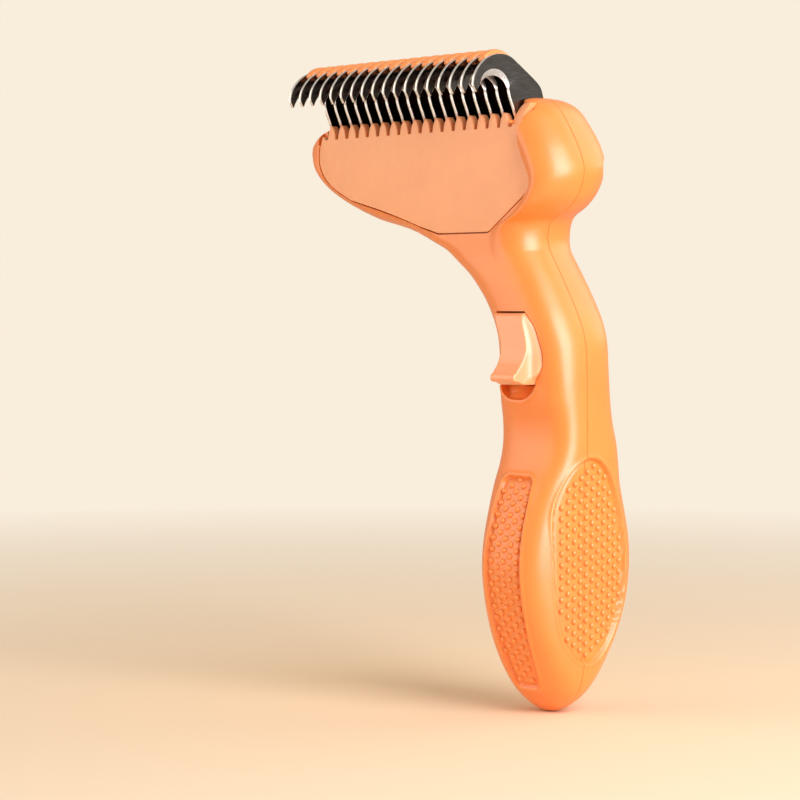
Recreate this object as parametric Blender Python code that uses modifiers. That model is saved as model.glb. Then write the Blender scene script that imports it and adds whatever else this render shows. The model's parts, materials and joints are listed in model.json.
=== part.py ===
"""Hooked dematting comb for pets: an L-shaped two-shell handle with 18 fixed hooked
blades, and a finger trigger that swings an ejector comb forward between them.

Frame: +Z up the handle to the head, the blade row along X with the head reaching
to -X, the hooks and the trigger to the front at -Y. The origin is on the floor
under the middle of the whole tool. Every shape below is drawn from the foot of the
handle, where the shells part on Y = 0, and one empty at FOOT carries them all.
All sizes are in millimetres and are turned into metres by MM."""

import math

import bmesh
import bpy
import numpy as np
from mathutils import Matrix

MM = 0.001
FOOT = (35.75, 0.425, 0.0)

# Handle sections: height, left and right edge, front and back depth, squareness.
HANDLE_ROWS = (
    (0.4, -2.7, 2.7, 2.0, 2.4, 2.0),
    (1.9, -5.8, 5.8, 4.0, 4.8, 2.0),
    (4.5, -8.8, 8.8, 6.4, 7.7, 2.1),
    (8.0, -10.8, 10.8, 8.7, 10.4, 2.3),
    (13.0, -11.8, 11.8, 11.0, 13.2, 2.8),
    (20.0, -12.0, 12.0, 13.9, 17.2, 3.3),
    (28.0, -12.0, 12.0, 16.3, 20.6, 3.4),
    (36.0, -12.0, 12.0, 17.5, 21.9, 3.4),
    (43.0, -12.0, 12.0, 17.0, 21.6, 3.4),
    (50.0, -12.0, 12.0, 15.2, 19.9, 3.4),
    (57.0, -12.2, 12.2, 12.6, 17.7, 3.4),
    (62.5, -12.5, 12.5, 9.8, 16.8, 3.3),
    (67.5, -12.6, 12.6, 8.4, 16.0, 3.2),
    (73.0, -12.6, 12.6, 8.6, 14.4, 3.1),
    (79.0, -12.5, 12.5, 10.0, 13.6, 3.0),
    (86.0, -12.4, 12.4, 10.7, 13.2, 2.9),
    (93.0, -12.6, 11.8, 11.2, 13.4, 2.8),
    (98.5, -14.6, 9.8, 11.2, 14.0, 2.7),
    (104.0, -18.3, 6.8, 11.0, 14.3, 2.6),
    (109.5, -23.6, 3.4, 10.8, 14.4, 2.6),
)
# Head ribs: outer point, inner point, depths at the outer end, rounding at both ends.
HEAD_ROWS = (
    (-0.7, 115.8, -28.6, 112.8, 10.8, 14.4, 12.0, 10.5, 0.0),
    (-1.4, 119.9, -32.6, 115.8, 11.2, 14.4, 12.0, 9.5, 1.0),
    (0.0, 123.4, -35.0, 117.0, 11.8, 14.4, 12.0, 8.5, 2.5),
    (5.0, 126.0, -37.0, 117.9, 12.4, 14.5, 12.5, 8.0, 3.5),
    (9.0, 129.5, -38.8, 118.6, 13.0, 14.5, 13.5, 8.0, 4.5),
    (11.1, 135.0, -40.6, 119.3, 13.2, 14.5, 14.0, 8.0, 5.0),
    (9.4, 140.6, -42.4, 119.9, 13.2, 14.5, 14.0, 8.0, 5.0),
    (5.8, 146.6, -44.0, 120.5, 12.8, 14.3, 14.0, 8.0, 4.0),
    (1.8, 151.6, -45.6, 121.0, 12.0, 14.0, 13.0, 7.5, 2.5),
    (-3.4, 154.0, -47.4, 121.6, 10.9, 13.6, 11.0, 7.0, 1.2),
    (-10.0, 153.4, -49.6, 122.2, 9.9, 13.0, 8.0, 6.5, 0.4),
    (-22.0, 152.4, -53.4, 123.1, 9.9, 13.0, 5.5, 6.0, 0.0),
    (-38.0, 151.9, -59.0, 124.4, 9.9, 13.0, 5.0, 5.5, 0.0),
    (-54.0, 151.6, -66.2, 126.9, 9.9, 13.0, 5.0, 5.0, 0.0),
    (-66.0, 151.2, -72.8, 129.7, 9.9, 12.9, 5.0, 5.0, 0.0),
    (-74.0, 150.8, -78.0, 132.7, 9.9, 12.6, 5.0, 5.0, 0.0),
    (-79.0, 149.8, -81.6, 136.2, 9.7, 11.8, 4.6, 4.6, 0.0),
    (-82.4, 147.6, -83.5, 140.0, 8.6, 9.8, 3.4, 3.4, 0.0),
)
HEAD_END = (-84.1, 143.9)
HEAD_FRONT = 9.9
HEAD_BACK = 13.0
HEAD_SQUARENESS = 2.4
WALL = 2.4
HEAD_FRONT_EXTRA = 0.9

# Blades: 18 flat hooks, one pitch apart, lying in planes across X.
BLADES = 18
PITCH = 4.14
BLADE_X = -5.2
BLADE_THICK = 0.8
FINGER_WIDE = 2.5
BLADE_ROOT_Z = 135.6
ROD_AT = (-3.4, 137.8)
ROD_R = 1.25

# Ejector comb: it turns about the pivot, and the drive rod pulls its crank pin down.
PIVOT = (6.5, 144.0)
TRAVEL = 3.4
SWING = math.radians(24.0)
CRANK_R = 0.5 * TRAVEL / math.sin(SWING / 2)
BAR_R = 3.1
PIN_R = 1.5

# Face plate, in front of the blade roots.
PLATE_FRONT = -9.5
PLATE_THICK = 1.6
NOTCH_Z = 147.0
TOOTH_Z = 150.0

# Trigger, pressed straight in: it fills a D-shaped window in the front shell.
WINDOW_SIDE = (
    (5.1, 100.6),
    (5.9, 98.4),
    (6.5, 96.5),
    (6.7, 94.3),
    (6.8, 91.8),
    (7.0, 89.1),
    (6.9, 87.2),
    (6.1, 85.2),
    (5.0, 83.7),
    (4.5, 82.1),
)
TRIGGER_TOP = 100.2
SCOOP_X = -2.4
TRIGGER_FOOT = 82.4
TRIGGER_GAP = 0.35
FLANGE_BACK = -5.2

# Drive rod: a pin on it runs in a slot at 45 degrees in the trigger's tongue.
ROD_HALF = 1.5
DRIVE_Z = 92.0
DRIVE_R = 1.3
SPRING_FOOT = 62.0
SPRING_TOP = 78.0
SPRING_R = 3.0
SPRING_WIRE = 0.45
SPRING_TURNS = 6

# Shell screws, (x, z) of each, driven in from the back.
SCREWS = ((0.0, 15.0), (0.0, 53.0), (-36.0, 124.0), (6.6, 136.4))


# ---------------------------------------------------------------- scene and helpers


def clear_scene():
    for obj in list(bpy.data.objects):
        bpy.data.objects.remove(obj, do_unlink=True)


def collection(name, hidden=False):
    made = bpy.data.collections.new(name)
    bpy.context.scene.collection.children.link(made)
    made.hide_render = hidden
    return made


def material(name, colour, roughness, metallic=0.0):
    made = bpy.data.materials.new(name)
    made.use_nodes = True
    shader = made.node_tree.nodes["Principled BSDF"]
    shader.inputs["Base Color"].default_value = (*colour, 1.0)
    shader.inputs["Roughness"].default_value = roughness
    shader.inputs["Metallic"].default_value = metallic
    made.diffuse_color = (*colour, 1.0)
    return made


def foot_empty():
    """Empty at the foot of the handle, which every part and cutter hangs from."""
    empty = bpy.data.objects.new("foot", None)
    PARTS.objects.link(empty)
    empty.location = [c * MM for c in FOOT]
    return empty


def carried(obj, group):
    group.objects.link(obj)
    obj.parent = CARRIER
    return obj


def add_part(name, mesh, look):
    obj = carried(bpy.data.objects.new(name, mesh), PARTS)
    obj.data.materials.append(look)
    return obj


def add_cutter(name, mesh):
    obj = carried(bpy.data.objects.new(name, mesh), CUTTERS)
    obj.hide_render = True
    obj.display_type = "WIRE"
    return obj


def boolean(obj, other, operation="DIFFERENCE", solver="EXACT"):
    step = obj.modifiers.new(other.name, "BOOLEAN")
    step.operation = operation
    step.solver = solver
    step.object = other


def cut_body(obj, other, operation="DIFFERENCE"):
    """A step of the lofted body, where the exact solver drops the whole shell."""
    boolean(obj, other, operation, solver="MANIFOLD")


def smooth(mesh, degrees=35.0):
    mesh.shade_smooth()
    mesh.set_sharp_from_angle(angle=math.radians(degrees))


def mesh_of_curve(data):
    """The mesh of a curve, with its cap and side points joined."""
    holder = bpy.data.objects.new(data.name, data)
    bpy.context.scene.collection.objects.link(holder)
    graph = bpy.context.evaluated_depsgraph_get()
    mesh = bpy.data.meshes.new_from_object(holder.evaluated_get(graph))
    bpy.data.objects.remove(holder)
    shape = bmesh.new()
    shape.from_mesh(mesh)
    bmesh.ops.remove_doubles(shape, verts=shape.verts, dist=1e-6)
    shape.to_mesh(mesh)
    shape.free()
    return mesh


# Local x, y, z of an outline laid across each axis.
LAID = {
    "X": Matrix(((0, 0, 1), (1, 0, 0), (0, 1, 0))),
    "Y": Matrix(((1, 0, 0), (0, 0, -1), (0, 1, 0))),
    "Z": Matrix.Identity(3),
}


def prism(name, outline, axis, low, high):
    """A flat outline, given in the two other axes, made thick along the axis."""
    data = bpy.data.curves.new(name, "CURVE")
    data.dimensions = "2D"
    data.fill_mode = "BOTH"
    data.extrude = 0.5 * (high - low) * MM
    spline = data.splines.new("POLY")
    spline.points.add(len(outline) - 1)
    for point, (a, b) in zip(spline.points, outline):
        point.co = (a * MM, b * MM, 0.0, 1.0)
    spline.use_cyclic_u = True
    mesh = mesh_of_curve(data)
    shift = Matrix.Identity(4)
    shift["XYZ".index(axis)][3] = 0.5 * (low + high) * MM
    mesh.transform(shift @ LAID[axis].to_4x4())
    return mesh


def finished(name, shape):
    """The mesh of a bmesh, which is freed."""
    mesh = bpy.data.meshes.new(name)
    shape.to_mesh(mesh)
    shape.free()
    return mesh


def box(name, low, high):
    low, high = np.array(low), np.array(high)
    shape = bmesh.new()
    place = Matrix.Translation(0.5 * (low + high) * MM)
    size = Matrix.Diagonal((*((high - low) * MM), 1.0))
    bmesh.ops.create_cube(shape, size=1.0, matrix=place @ size)
    return finished(name, shape)


def cylinder(name, centre, radius, axis, low, high, sides=16):
    """A round bar along the axis, with its centre given in the two other axes."""
    shape = bmesh.new()
    r, depth = radius * MM, (high - low) * MM
    bmesh.ops.create_cone(
        shape, cap_ends=True, segments=sides, radius1=r, radius2=r, depth=depth
    )
    mesh = finished(name, shape)
    shift = Matrix.Identity(4)
    shift["XYZ".index(axis)][3] = 0.5 * (low + high) * MM
    at = Matrix.Translation((centre[0] * MM, centre[1] * MM, 0.0))
    mesh.transform(shift @ LAID[axis].to_4x4() @ at)
    return mesh


def arc(centre, radius, start, end, count):
    """Points on a circle from one angle in degrees to another."""
    turns = [math.radians(start + (end - start) * k / count) for k in range(count + 1)]
    return [(centre[0] + radius * math.cos(t), centre[1] + radius * math.sin(t)) for t in turns]


def through(points, steps):
    """A smooth curve through the points, with this many steps between each two."""
    keys = np.asarray(points, float)
    return [tuple(p) for p in resample(keys, steps)]


def resample(keys, steps):
    """Catmull-Rom through rows of numbers."""
    ends = np.vstack([2 * keys[0] - keys[1], keys, 2 * keys[-1] - keys[-2]])
    made = []
    for k in range(len(keys) - 1):
        a, b, c, d = ends[k : k + 4]
        for step in range(steps):
            t = step / steps
            made.append(
                b
                + 0.5 * t * (c - a)
                + t * t * (a - 2.5 * b + 2 * c - 0.5 * d)
                + t**3 * (1.5 * (b - c) + 0.5 * (d - a))
            )
    made.append(keys[-1])
    return np.array(made)


def joined(name, meshes, operation="UNION", solver="EXACT"):
    """One closed mesh from overlapping solids, or what they share."""
    first, *rest = [add_cutter(f"{name}_{k}", mesh) for k, mesh in enumerate(meshes)]
    for other in rest:
        boolean(first, other, operation, solver)
    graph = bpy.context.evaluated_depsgraph_get()
    mesh = bpy.data.meshes.new_from_object(first.evaluated_get(graph))
    mesh.name = name
    for obj in (first, *rest):
        bpy.data.objects.remove(obj)
    return mesh


# ---------------------------------------------------------------- materials


def shell_orange():
    return material("shell_orange", (0.95, 0.26, 0.05), 0.35)


def plate_peach():
    return material("plate_peach", (1.0, 0.4, 0.17), 0.5)


def trigger_peach():
    return material("trigger_peach", (1.0, 0.4, 0.17), 0.4)


def comb_orange():
    return material("comb_orange", (1.0, 0.42, 0.13), 0.4)


def blade_black():
    return material("blade_black", (0.02, 0.02, 0.022), 0.2, 0.8)


def carrier_black():
    return material("carrier_black", (0.05, 0.05, 0.05), 0.6)


def bare_steel(name):
    return material(name, (0.55, 0.55, 0.57), 0.3, 1.0)


# ---------------------------------------------------------------- body of the handle


def body_rows():
    """All the ribs of the body, from the foot of the handle to the end of the head."""
    rows = []
    for z, left, right, front, back, square in HANDLE_ROWS:
        half = 0.5 * (right - left)
        rows.append((right, z, left, z, front, front, back, back, half, half, square, 0.0, 0.0))
    for ox, oz, ix, iz, front, back, round_out, round_in, lift in HEAD_ROWS:
        inner = (min(front, HEAD_FRONT), min(back, HEAD_BACK))
        rows.append(
            (ox, oz, ix, iz, front, inner[0], back, inner[1])
            + (round_out, round_in, HEAD_SQUARENESS, HEAD_FRONT_EXTRA, lift)
        )
    return np.array(rows, float)


def eased(share):
    """A smooth step from 0 to 1."""
    share = np.clip(share, 0, 1)
    return share * share * (3 - 2 * share)


def rounded(distance, radius, square):
    """Height of a rounded edge at a distance from it, as a share of the full depth."""
    left = 1 - np.clip(distance / radius, 0, 1)
    return (1 - left**square) ** (1 / square)


def rib_points(row, inset, across):
    """One closed ring: along the front from the outer end to the inner end, then back."""
    ox, oz, ix, iz, front_out, front_in, back_out, back_in, r_out, r_in, square, extra, lift = row
    length = math.hypot(ox - ix, oz - iz)
    share = 0.5 - 0.5 * np.cos(np.linspace(0, np.pi, across + 1))
    at_x = ox + (ix - ox) * share
    at_z = oz + (iz - oz) * share
    d_out = length * share
    d_in = length - d_out
    bulge = eased((13.5 - d_out) / 7)
    blend = eased((26 - d_out) / 16)
    edge = rounded(d_out, max(r_out - inset, 1.5), square)
    edge = edge * rounded(d_in, max(r_in - inset, 1.5), square)
    front = edge * (front_in + (front_out - front_in) * bulge - inset - (extra if inset else 0))
    back = edge * (back_in + (back_out - back_in) * blend - inset)
    ring = [(x, -y, z) for x, y, z in zip(at_x, front, at_z)]
    ring += [(x, y, z) for x, y, z in zip(at_x, back, at_z + lift * blend * edge**2)][-2:0:-1]
    return ring


def inset_rows(rows, inset):
    """Ribs with both ends drawn in from the outline by the inset."""
    made = []
    ends = rows.copy()
    for k, row in enumerate(rows):
        before, after = rows[max(k - 1, 0)], rows[min(k + 1, len(rows) - 1)]
        rib = (row[2:4] - row[0:2]) / np.linalg.norm(row[2:4] - row[0:2])
        for at, sign in ((0, 1), (2, -1)):
            run = after[at : at + 2] - before[at : at + 2]
            run = run / max(np.linalg.norm(run), 1e-6)
            sine = abs(run[0] * rib[1] - run[1] * rib[0])
            ends[k][at : at + 2] = row[at : at + 2] + sign * rib * inset / max(sine, 0.55)
        made.append(ends[k])
    return np.array(made)


def body_mesh(name, inset=0.0, across=12, side=0):
    """The closed outer body, its front half (-1) or back half (1), or the whole of it
    drawn in all round by the inset."""
    rows = body_rows()
    start, end = (0.0, 0.0, 0.0), (HEAD_END[0], 0.0, HEAD_END[1])
    if inset:
        rows = inset_rows(rows, inset)
        rows = rows[[row[1] > 3.5 + inset and row[0] > -80.0 for row in rows]]
        start = (0.0, 0.0, rows[0][1] - 0.8)
        end = (0.5 * (rows[-1][0] + rows[-1][2]) - 0.8, 0.0, 0.5 * (rows[-1][1] + rows[-1][3]))
    shape = bmesh.new()
    rings = []
    for row in rows:
        ring = rib_points(row, inset, across)
        if side:
            ring = [(x, y + 0.05 * side, z) for x, y, z in ring if y * side > -1e-9]
        rings.append([shape.verts.new([c * MM for c in point]) for point in ring])
    for one, two in zip(rings, rings[1:]):
        for k in range(len(one)):
            n = (k + 1) % len(one)
            shape.faces.new((one[k], one[n], two[n], two[k]))
    for tip, ring in ((start, rings[0]), (end, rings[-1])):
        pole = shape.verts.new((tip[0] * MM, 0.05 * side * MM, tip[2] * MM))
        for k in range(len(ring)):
            shape.faces.new((pole, ring[k], ring[(k + 1) % len(ring)]))
    bmesh.ops.recalc_face_normals(shape, faces=shape.faces)
    mesh = finished(name, shape)
    mesh.shade_smooth()
    return mesh


def cavity():
    """The hollow of the handle, with bulkheads and screw posts left standing in it."""
    hollow = add_cutter("cavity", body_mesh("cavity", inset=WALL, across=8))
    far = 200.0
    slabs = {
        "left_bulkhead": ((-79.9, -far, 100.0), (-78.3, far, far)),
        "right_bulkhead": ((1.7, -far, 127.5), (3.3, far, far)),
        "mid_bulkhead": ((-45.3, -far, 100.0), (-43.7, far, far)),
        "outer_bulkhead": ((-66.0, -far, 100.0), (-64.4, far, far)),
        "stem_guide": ((-far, -far, 106.0), (far, far, 107.6)),
        "spring_seat": ((-far, -far, SPRING_FOOT - 2.0), (far, far, SPRING_FOOT)),
    }
    for name, (low, high) in slabs.items():
        cut_body(hollow, add_cutter(name, box(name, low, high)))
    floor = box("scoop_floor", (-8.0, -20.0, 76.5), (8.0, -4.5, 82.0))
    cut_body(hollow, add_cutter("scoop_floor", floor))
    for k, (x, z) in enumerate(SCREWS):
        post = cylinder(f"post_{k}", (x, z), 3.4, "Y", -30.0, 30.0, 20)
        cut_body(hollow, add_cutter(f"post_{k}", post))
    return hollow


# ---------------------------------------------------------------- outlines


def plate_outline(grow=0.0):
    """Face plate seen from the front, (x, z), without its notches."""
    lower_left = through(
        ((-77.3, 147.4), (-78.5, 143.0), (-77.7, 138.4), (-73.4, 133.9), (-65.6, 130.0)), 3
    )
    lower = through(((-65.6, 130.0), (-50.3, 126.1), (-34.8, 121.3)), 2)
    corner = [(-31.0, 120.5), (-13.8, 120.5)] + arc((-13.8, 124.0), 3.5, -70, -48, 2)
    right = [(1.9, 130.9)] + arc((1.0, 132.0), 1.3, -30, 40, 3)
    edge = through(((0.6, 136.0), (-1.3, 140.6), (-1.7, 144.4), (-0.9, 147.8), (0.2, 150.0)), 3)
    top = through(((0.2, 150.0), (-1.5, 150.0), (-2.7, 149.0), (-3.4, 147.6)), 2)
    outline = lower_left + lower[1:-1] + corner + right + edge + top[1:]
    outline += [(-3.4, TOOTH_Z - 3.0), (-76.9, TOOTH_Z - 3.0)]
    if not grow:
        return outline
    centre = np.mean(outline, axis=0)
    return [offset_point(outline, k, grow, centre) for k in range(len(outline))]


def offset_point(outline, k, grow, centre):
    """One corner of an outline, moved out square to its neighbours."""
    before, after = np.array(outline[k - 1]), np.array(outline[(k + 1) % len(outline)])
    run = after - before
    out = np.array((run[1], -run[0])) / max(np.linalg.norm(run), 1e-6)
    return tuple(np.array(outline[k]) + grow * out)


def notch_teeth():
    """Top edge of the face plate from right to left: a V at each blade, a tooth between."""
    edge = []
    for k in range(BLADES):
        x = BLADE_X - PITCH * k
        if k:
            edge += [(x + PITCH / 2 + 0.45, TOOTH_Z), (x + PITCH / 2 - 0.45, TOOTH_Z)]
        edge += [(x + 0.6, NOTCH_Z + 0.7), (x + 0.6, NOTCH_Z), (x - 0.6, NOTCH_Z)]
        edge += [(x - 0.6, NOTCH_Z + 0.7)]
    return edge


def blade_outline():
    """Blade seen from the side, (y, z): tip, over the arch, down the back, root, throat."""
    over = through(
        (
            (-22.0, 154.5),
            (-22.8, 156.4),
            (-22.0, 159.3),
            (-19.6, 162.1),
            (-16.6, 163.8),
            (-13.4, 164.4),
            (-10.2, 164.0),
            (-7.0, 162.2),
        ),
        2,
    )
    back = through(((-7.0, 162.2), (-1.0, 158.3), (0.9, 156.4), (1.7, 154.0)), 2)
    root = [(1.8, BLADE_ROOT_Z), (-6.0, BLADE_ROOT_Z), (-6.0, 145.4), (-7.4, 146.4)]
    front = through(((-7.6, 147.8), (-9.0, 151.2), (-10.2, 153.8), (-10.8, 155.8)), 1)
    throat = through(
        (
            (-10.8, 155.8),
            (-11.9, 157.4),
            (-13.9, 158.6),
            (-16.2, 158.8),
            (-18.3, 158.2),
            (-19.9, 157.0),
            (-21.0, 155.4),
        ),
        2,
    )
    return over + back[1:] + root + front[:-1] + throat + [(-21.5, 154.6)]


def finger_outline():
    """One finger of the comb, (y, z), from its nose back to the bar."""
    top = through(
        (
            (-18.2, 162.6),
            (-17.6, 163.9),
            (-15.4, 165.2),
            (-12.6, 165.6),
            (-9.6, 164.8),
            (-4.0, 161.2),
            (1.2, 157.4),
            (4.6, 152.8),
        ),
        1,
    )
    root = [(8.9, 147.0), (8.9, 144.0), (4.1, 144.0)]
    under = through(((3.6, 146.6), (-1.0, 152.6), (-6.4, 158.4), (-10.6, 161.6)), 1)
    nose = [(-14.0, 162.0), (-17.2, 161.7)]
    return top + root + under + nose


def trigger_outline():
    """Trigger seen from the side, (y, z): hollowed face with a lip at its foot."""
    upper = ((-12.6, 99.6), (-13.0, 96.8), (-13.2, 93.4), (-13.6, 90.6))
    face = through((*upper, (-14.8, 87.8), (-16.5, 85.4)), 2)
    lip = arc((-16.5, 84.2), 1.1, 110, 300, 5)
    top = [(FLANGE_BACK, TRIGGER_TOP), (-12.0, TRIGGER_TOP)]
    return top + face + lip + [(-14.2, TRIGGER_FOOT), (FLANGE_BACK, TRIGGER_FOOT)]


def trigger_front():
    """Upright trigger from the front, (x, z): the window less a gap all round."""
    side = [(x - TRIGGER_GAP, z) for x, z in through(WINDOW_SIDE[1:-1], 2)]
    half = [(WINDOW_SIDE[0][0] - TRIGGER_GAP, TRIGGER_TOP + 1.0), *side]
    half.append((WINDOW_SIDE[-1][0] - TRIGGER_GAP, TRIGGER_FOOT - 1.0))
    return half + [(-x, z) for x, z in half[::-1]]


def trigger_plan():
    """Trigger seen from above, (x, y): its sides flare from the face to the window."""
    side = through(((4.2, -18.5), (4.3, -15.5), (4.5, -13.6), (4.9, -12.2), (5.9, -10.9)), 1)
    half = [*side, (6.9, -9.6), (7.3, -8.6), (7.3, FLANGE_BACK)]
    return half + [(-x, y) for x, y in half[::-1]]


def leaning(z):
    """How far the upper part of the trigger leans to the left, along the handle."""
    return -3.2 * (max(z - 90.0, 0.0) / 9.3) ** 1.5


def lean_over(mesh):
    """Shifts an upright trigger button to follow the leaning window, level by level."""
    shape = bmesh.new()
    shape.from_mesh(mesh)
    bmesh.ops.triangulate(shape, faces=shape.faces)
    for z in (90.0, 91.5, 93.0, 94.5, 96.0, 97.5, 99.0):
        everything = [*shape.verts, *shape.edges, *shape.faces]
        plane = {"plane_co": (0.0, 0.0, z * MM), "plane_no": (0.0, 0.0, 1.0)}
        bmesh.ops.bisect_plane(shape, geom=everything, dist=1e-7, **plane)
    for vertex in shape.verts:
        vertex.co.x += leaning(vertex.co.z / MM) * MM
    shape.to_mesh(mesh)
    shape.free()


def window_outline():
    """Opening for the trigger, (x, z): bowed sides that lean, and a flat foot."""
    half = through(WINDOW_SIDE, 2)
    outline = half + [(-x, z) for x, z in half[::-1]]
    return [(x + leaning(z), z) for x, z in outline]


def scoop_outline():
    """Hollow below the trigger, (x, z), running on from the window's sides."""
    right = through(((4.5, 82.4), (3.5, 80.8), (2.2, 79.6), (0.8, 78.9), (-0.8, 78.5)), 1)
    return right + [(2 * SCOOP_X - x, z) for x, z in right[::-1]]


def front_pad_outline():
    """Recess for the bumps on the front of the grip, (x, z)."""
    upper = arc((3.2, 57.8), 2.0, 90, 0, 3)
    side = through(((5.6, 52.0), (5.9, 40.0), (5.8, 26.0), (5.0, 12.0), (4.4, 8.8)), 1)
    half = [(0.0, 59.8)] + upper + side + arc((2.4, 8.2), 1.8, 0, -90, 3)
    return half + [(-x, z) for x, z in half[:0:-1]]


def side_pad_outline():
    """Oval recess on each side of the grip, (y, z)."""
    return through(
        (
            (1.8, 64.2),
            (8.2, 60.6),
            (13.0, 52.0),
            (15.8, 41.0),
            (15.2, 30.0),
            (11.8, 20.4),
            (6.8, 14.8),
            (1.5, 12.8),
            (-3.6, 15.2),
            (-7.8, 21.4),
            (-9.6, 30.6),
            (-10.3, 41.0),
            (-10.0, 51.6),
            (-5.0, 60.6),
            (1.8, 64.2),
        ),
        2,
    )[:-1]


# ---------------------------------------------------------------- the parts


def shell_cuts():
    """Everything cut from both shells."""
    left = BLADE_X - PITCH * (BLADES - 1) - 2.0
    right = BLADE_X + 1.3
    cuts = [cavity()]
    slot = ((left, -8.2), (left, 10.2), (right, 10.2), (right, -8.2))
    cuts.append(add_cutter("blade_slot", prism("blade_slot", slot, "Z", 144.6, 170.0)))
    top = box("top_cut", (left, -20.0, 148.0), (right, 20.0, 170.0))
    cuts.append(add_cutter("top_cut", top))
    seat = box("carrier_seat", (left, -6.6, 134.0), (right, 3.6, 150.0))
    cuts.append(add_cutter("carrier_seat", seat))
    bar = cylinder("bar_room", PIVOT, BAR_R + 0.6, "X", left, right, 24)
    cuts.append(add_cutter("bar_room", bar))
    room = PIN_R + 0.3
    cradle = arc(PIVOT, room, -90, 90, 8) + [(-5.0, PIVOT[1] + room), (-5.0, PIVOT[1] - room)]
    cuts.append(add_cutter("pin_cradle", prism("pin_cradle", cradle, "X", -82.0, 5.0)))
    stem = box("stem_hole", (-8.9, -1.8, 104.0), (-4.7, 1.8, 109.0))
    cuts.append(add_cutter("stem_hole", stem))
    yoke = box("yoke_room", (-2.6, -6.4, 130.0), (0.7, 2.0, 149.2))
    cuts.append(add_cutter("yoke_room", yoke))
    for side in (-1, 1):
        low, high = sorted((side * 5.0, side * 20.0))
        pad = add_cutter("side_pad", prism("side_pad", side_pad_outline(), "X", low, high))
        cut_body(pad, PAD_FLOOR)
        cuts.append(pad)
    return cuts


def scoop():
    """Cutter for the hollow below the trigger, with its floor sloping in and up."""
    hollow = add_cutter("scoop", prism("scoop", scoop_outline(), "Y", -30.0, -5.8))
    slope = through(((-11.6, 77.9), (-9.8, 78.5), (-7.8, 79.6), (-6.6, 81.0), (-6.0, 82.8)), 2)
    side = [*slope, (-29.0, 82.8), (-29.0, 77.9)]
    limit = add_cutter("scoop_side", prism("scoop_side", side, "X", -10.0, 9.0))
    cut_body(hollow, limit, "INTERSECT")
    return hollow


def add_shells():
    cuts = shell_cuts()
    front = add_part("shell_front", body_mesh("shell_front", side=-1), shell_orange())
    back = add_part("shell_back", body_mesh("shell_back", side=1), shell_orange())
    for cutter in cuts:
        cut_body(front, cutter)
        cut_body(back, cutter)
    floor = PLATE_FRONT + PLATE_THICK + 0.2
    pocket = prism("plate_pocket", plate_outline(0.25), "Y", -30.0, floor)
    cut_body(front, add_cutter("plate_pocket", pocket))
    lip = box("plate_top", (-79.0, -30.0, 145.2), (-3.1, floor, 170.0))
    cut_body(front, add_cutter("plate_top", lip))
    window = prism("trigger_window", window_outline(), "Y", -30.0, -5.0)
    cut_body(front, add_cutter("trigger_window", window))
    cut_body(front, scoop())
    pad = add_cutter("front_pad", prism("front_pad", front_pad_outline(), "Y", -30.0, -2.0))
    cut_body(pad, PAD_FLOOR)
    cut_body(front, pad)
    for k, (x, z) in enumerate(SCREWS):
        pilot = cylinder(f"pilot_{k}", (x, z), 1.45, "Y", -6.4, 1.0)
        cut_body(front, add_cutter(f"pilot_{k}", pilot))
        hole = cylinder(f"hole_{k}", (x, z), 1.6, "Y", -1.0, 40.0)
        cut_body(back, add_cutter(f"hole_{k}", hole))
        sink = cylinder(f"sink_{k}", (x, z), 2.8, "Y", 5.0, 40.0, 20)
        cut_body(back, add_cutter(f"sink_{k}", sink))


def add_face_plate():
    outline = plate_outline()[:-2]
    outline += notch_teeth() + [(-76.9, NOTCH_Z + 0.4)]
    back = PLATE_FRONT + PLATE_THICK
    mesh = prism("face_plate", outline, "Y", PLATE_FRONT, back)
    add_part("face_plate", mesh, plate_peach())


def add_blades():
    bore = cylinder("rod_holes", ROD_AT, ROD_R + 0.3, "X", -90.0, 0.0, 12)
    hole = add_cutter("rod_holes", bore)
    half = BLADE_THICK / 2
    for k in range(BLADES):
        x = BLADE_X - PITCH * (BLADES - 1 - k)
        name = f"blade_{k + 1:02d}"
        flat = prism(name, blade_outline(), "X", x - half, x + half)
        boolean(add_part(name, flat, blade_black()), hole)


def add_carrier():
    """Bar under the blades, slotted for their roots, and the rod that pins them in it."""
    ends = (BLADE_X - PITCH * (BLADES - 1) - 1.7, BLADE_X + 1.2)
    mesh = box("blade_carrier", (ends[0], -6.3, 134.3), (ends[1], 3.3, 139.8))
    carrier = add_part("blade_carrier", mesh, carrier_black())
    cuts = []
    wide = BLADE_THICK / 2 + 0.15
    for k in range(BLADES):
        x = BLADE_X - PITCH * k
        low = (x - wide, -6.6, BLADE_ROOT_Z - 0.15)
        cuts.append(box("slot", low, (x + wide, 2.1, 150.0)))
    slots = add_cutter("carrier_slots", joined("carrier_slots", cuts))
    boolean(carrier, slots)
    bore = cylinder("carrier_bore", ROD_AT, ROD_R + 0.2, "X", -90.0, 0.0, 12)
    boolean(carrier, add_cutter("carrier_bore", bore))
    rod = cylinder("blade_rod", ROD_AT, ROD_R, "X", ends[0], ends[1], 12)
    smooth(rod)
    add_part("blade_rod", rod, bare_steel("rod_steel"))


def crank_pin():
    """Place of the crank pin at rest: half the swing above level, in front of the pivot."""
    reach = CRANK_R * math.cos(SWING / 2)
    return (PIVOT[0] - reach, PIVOT[1] + CRANK_R * math.sin(SWING / 2))


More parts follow.
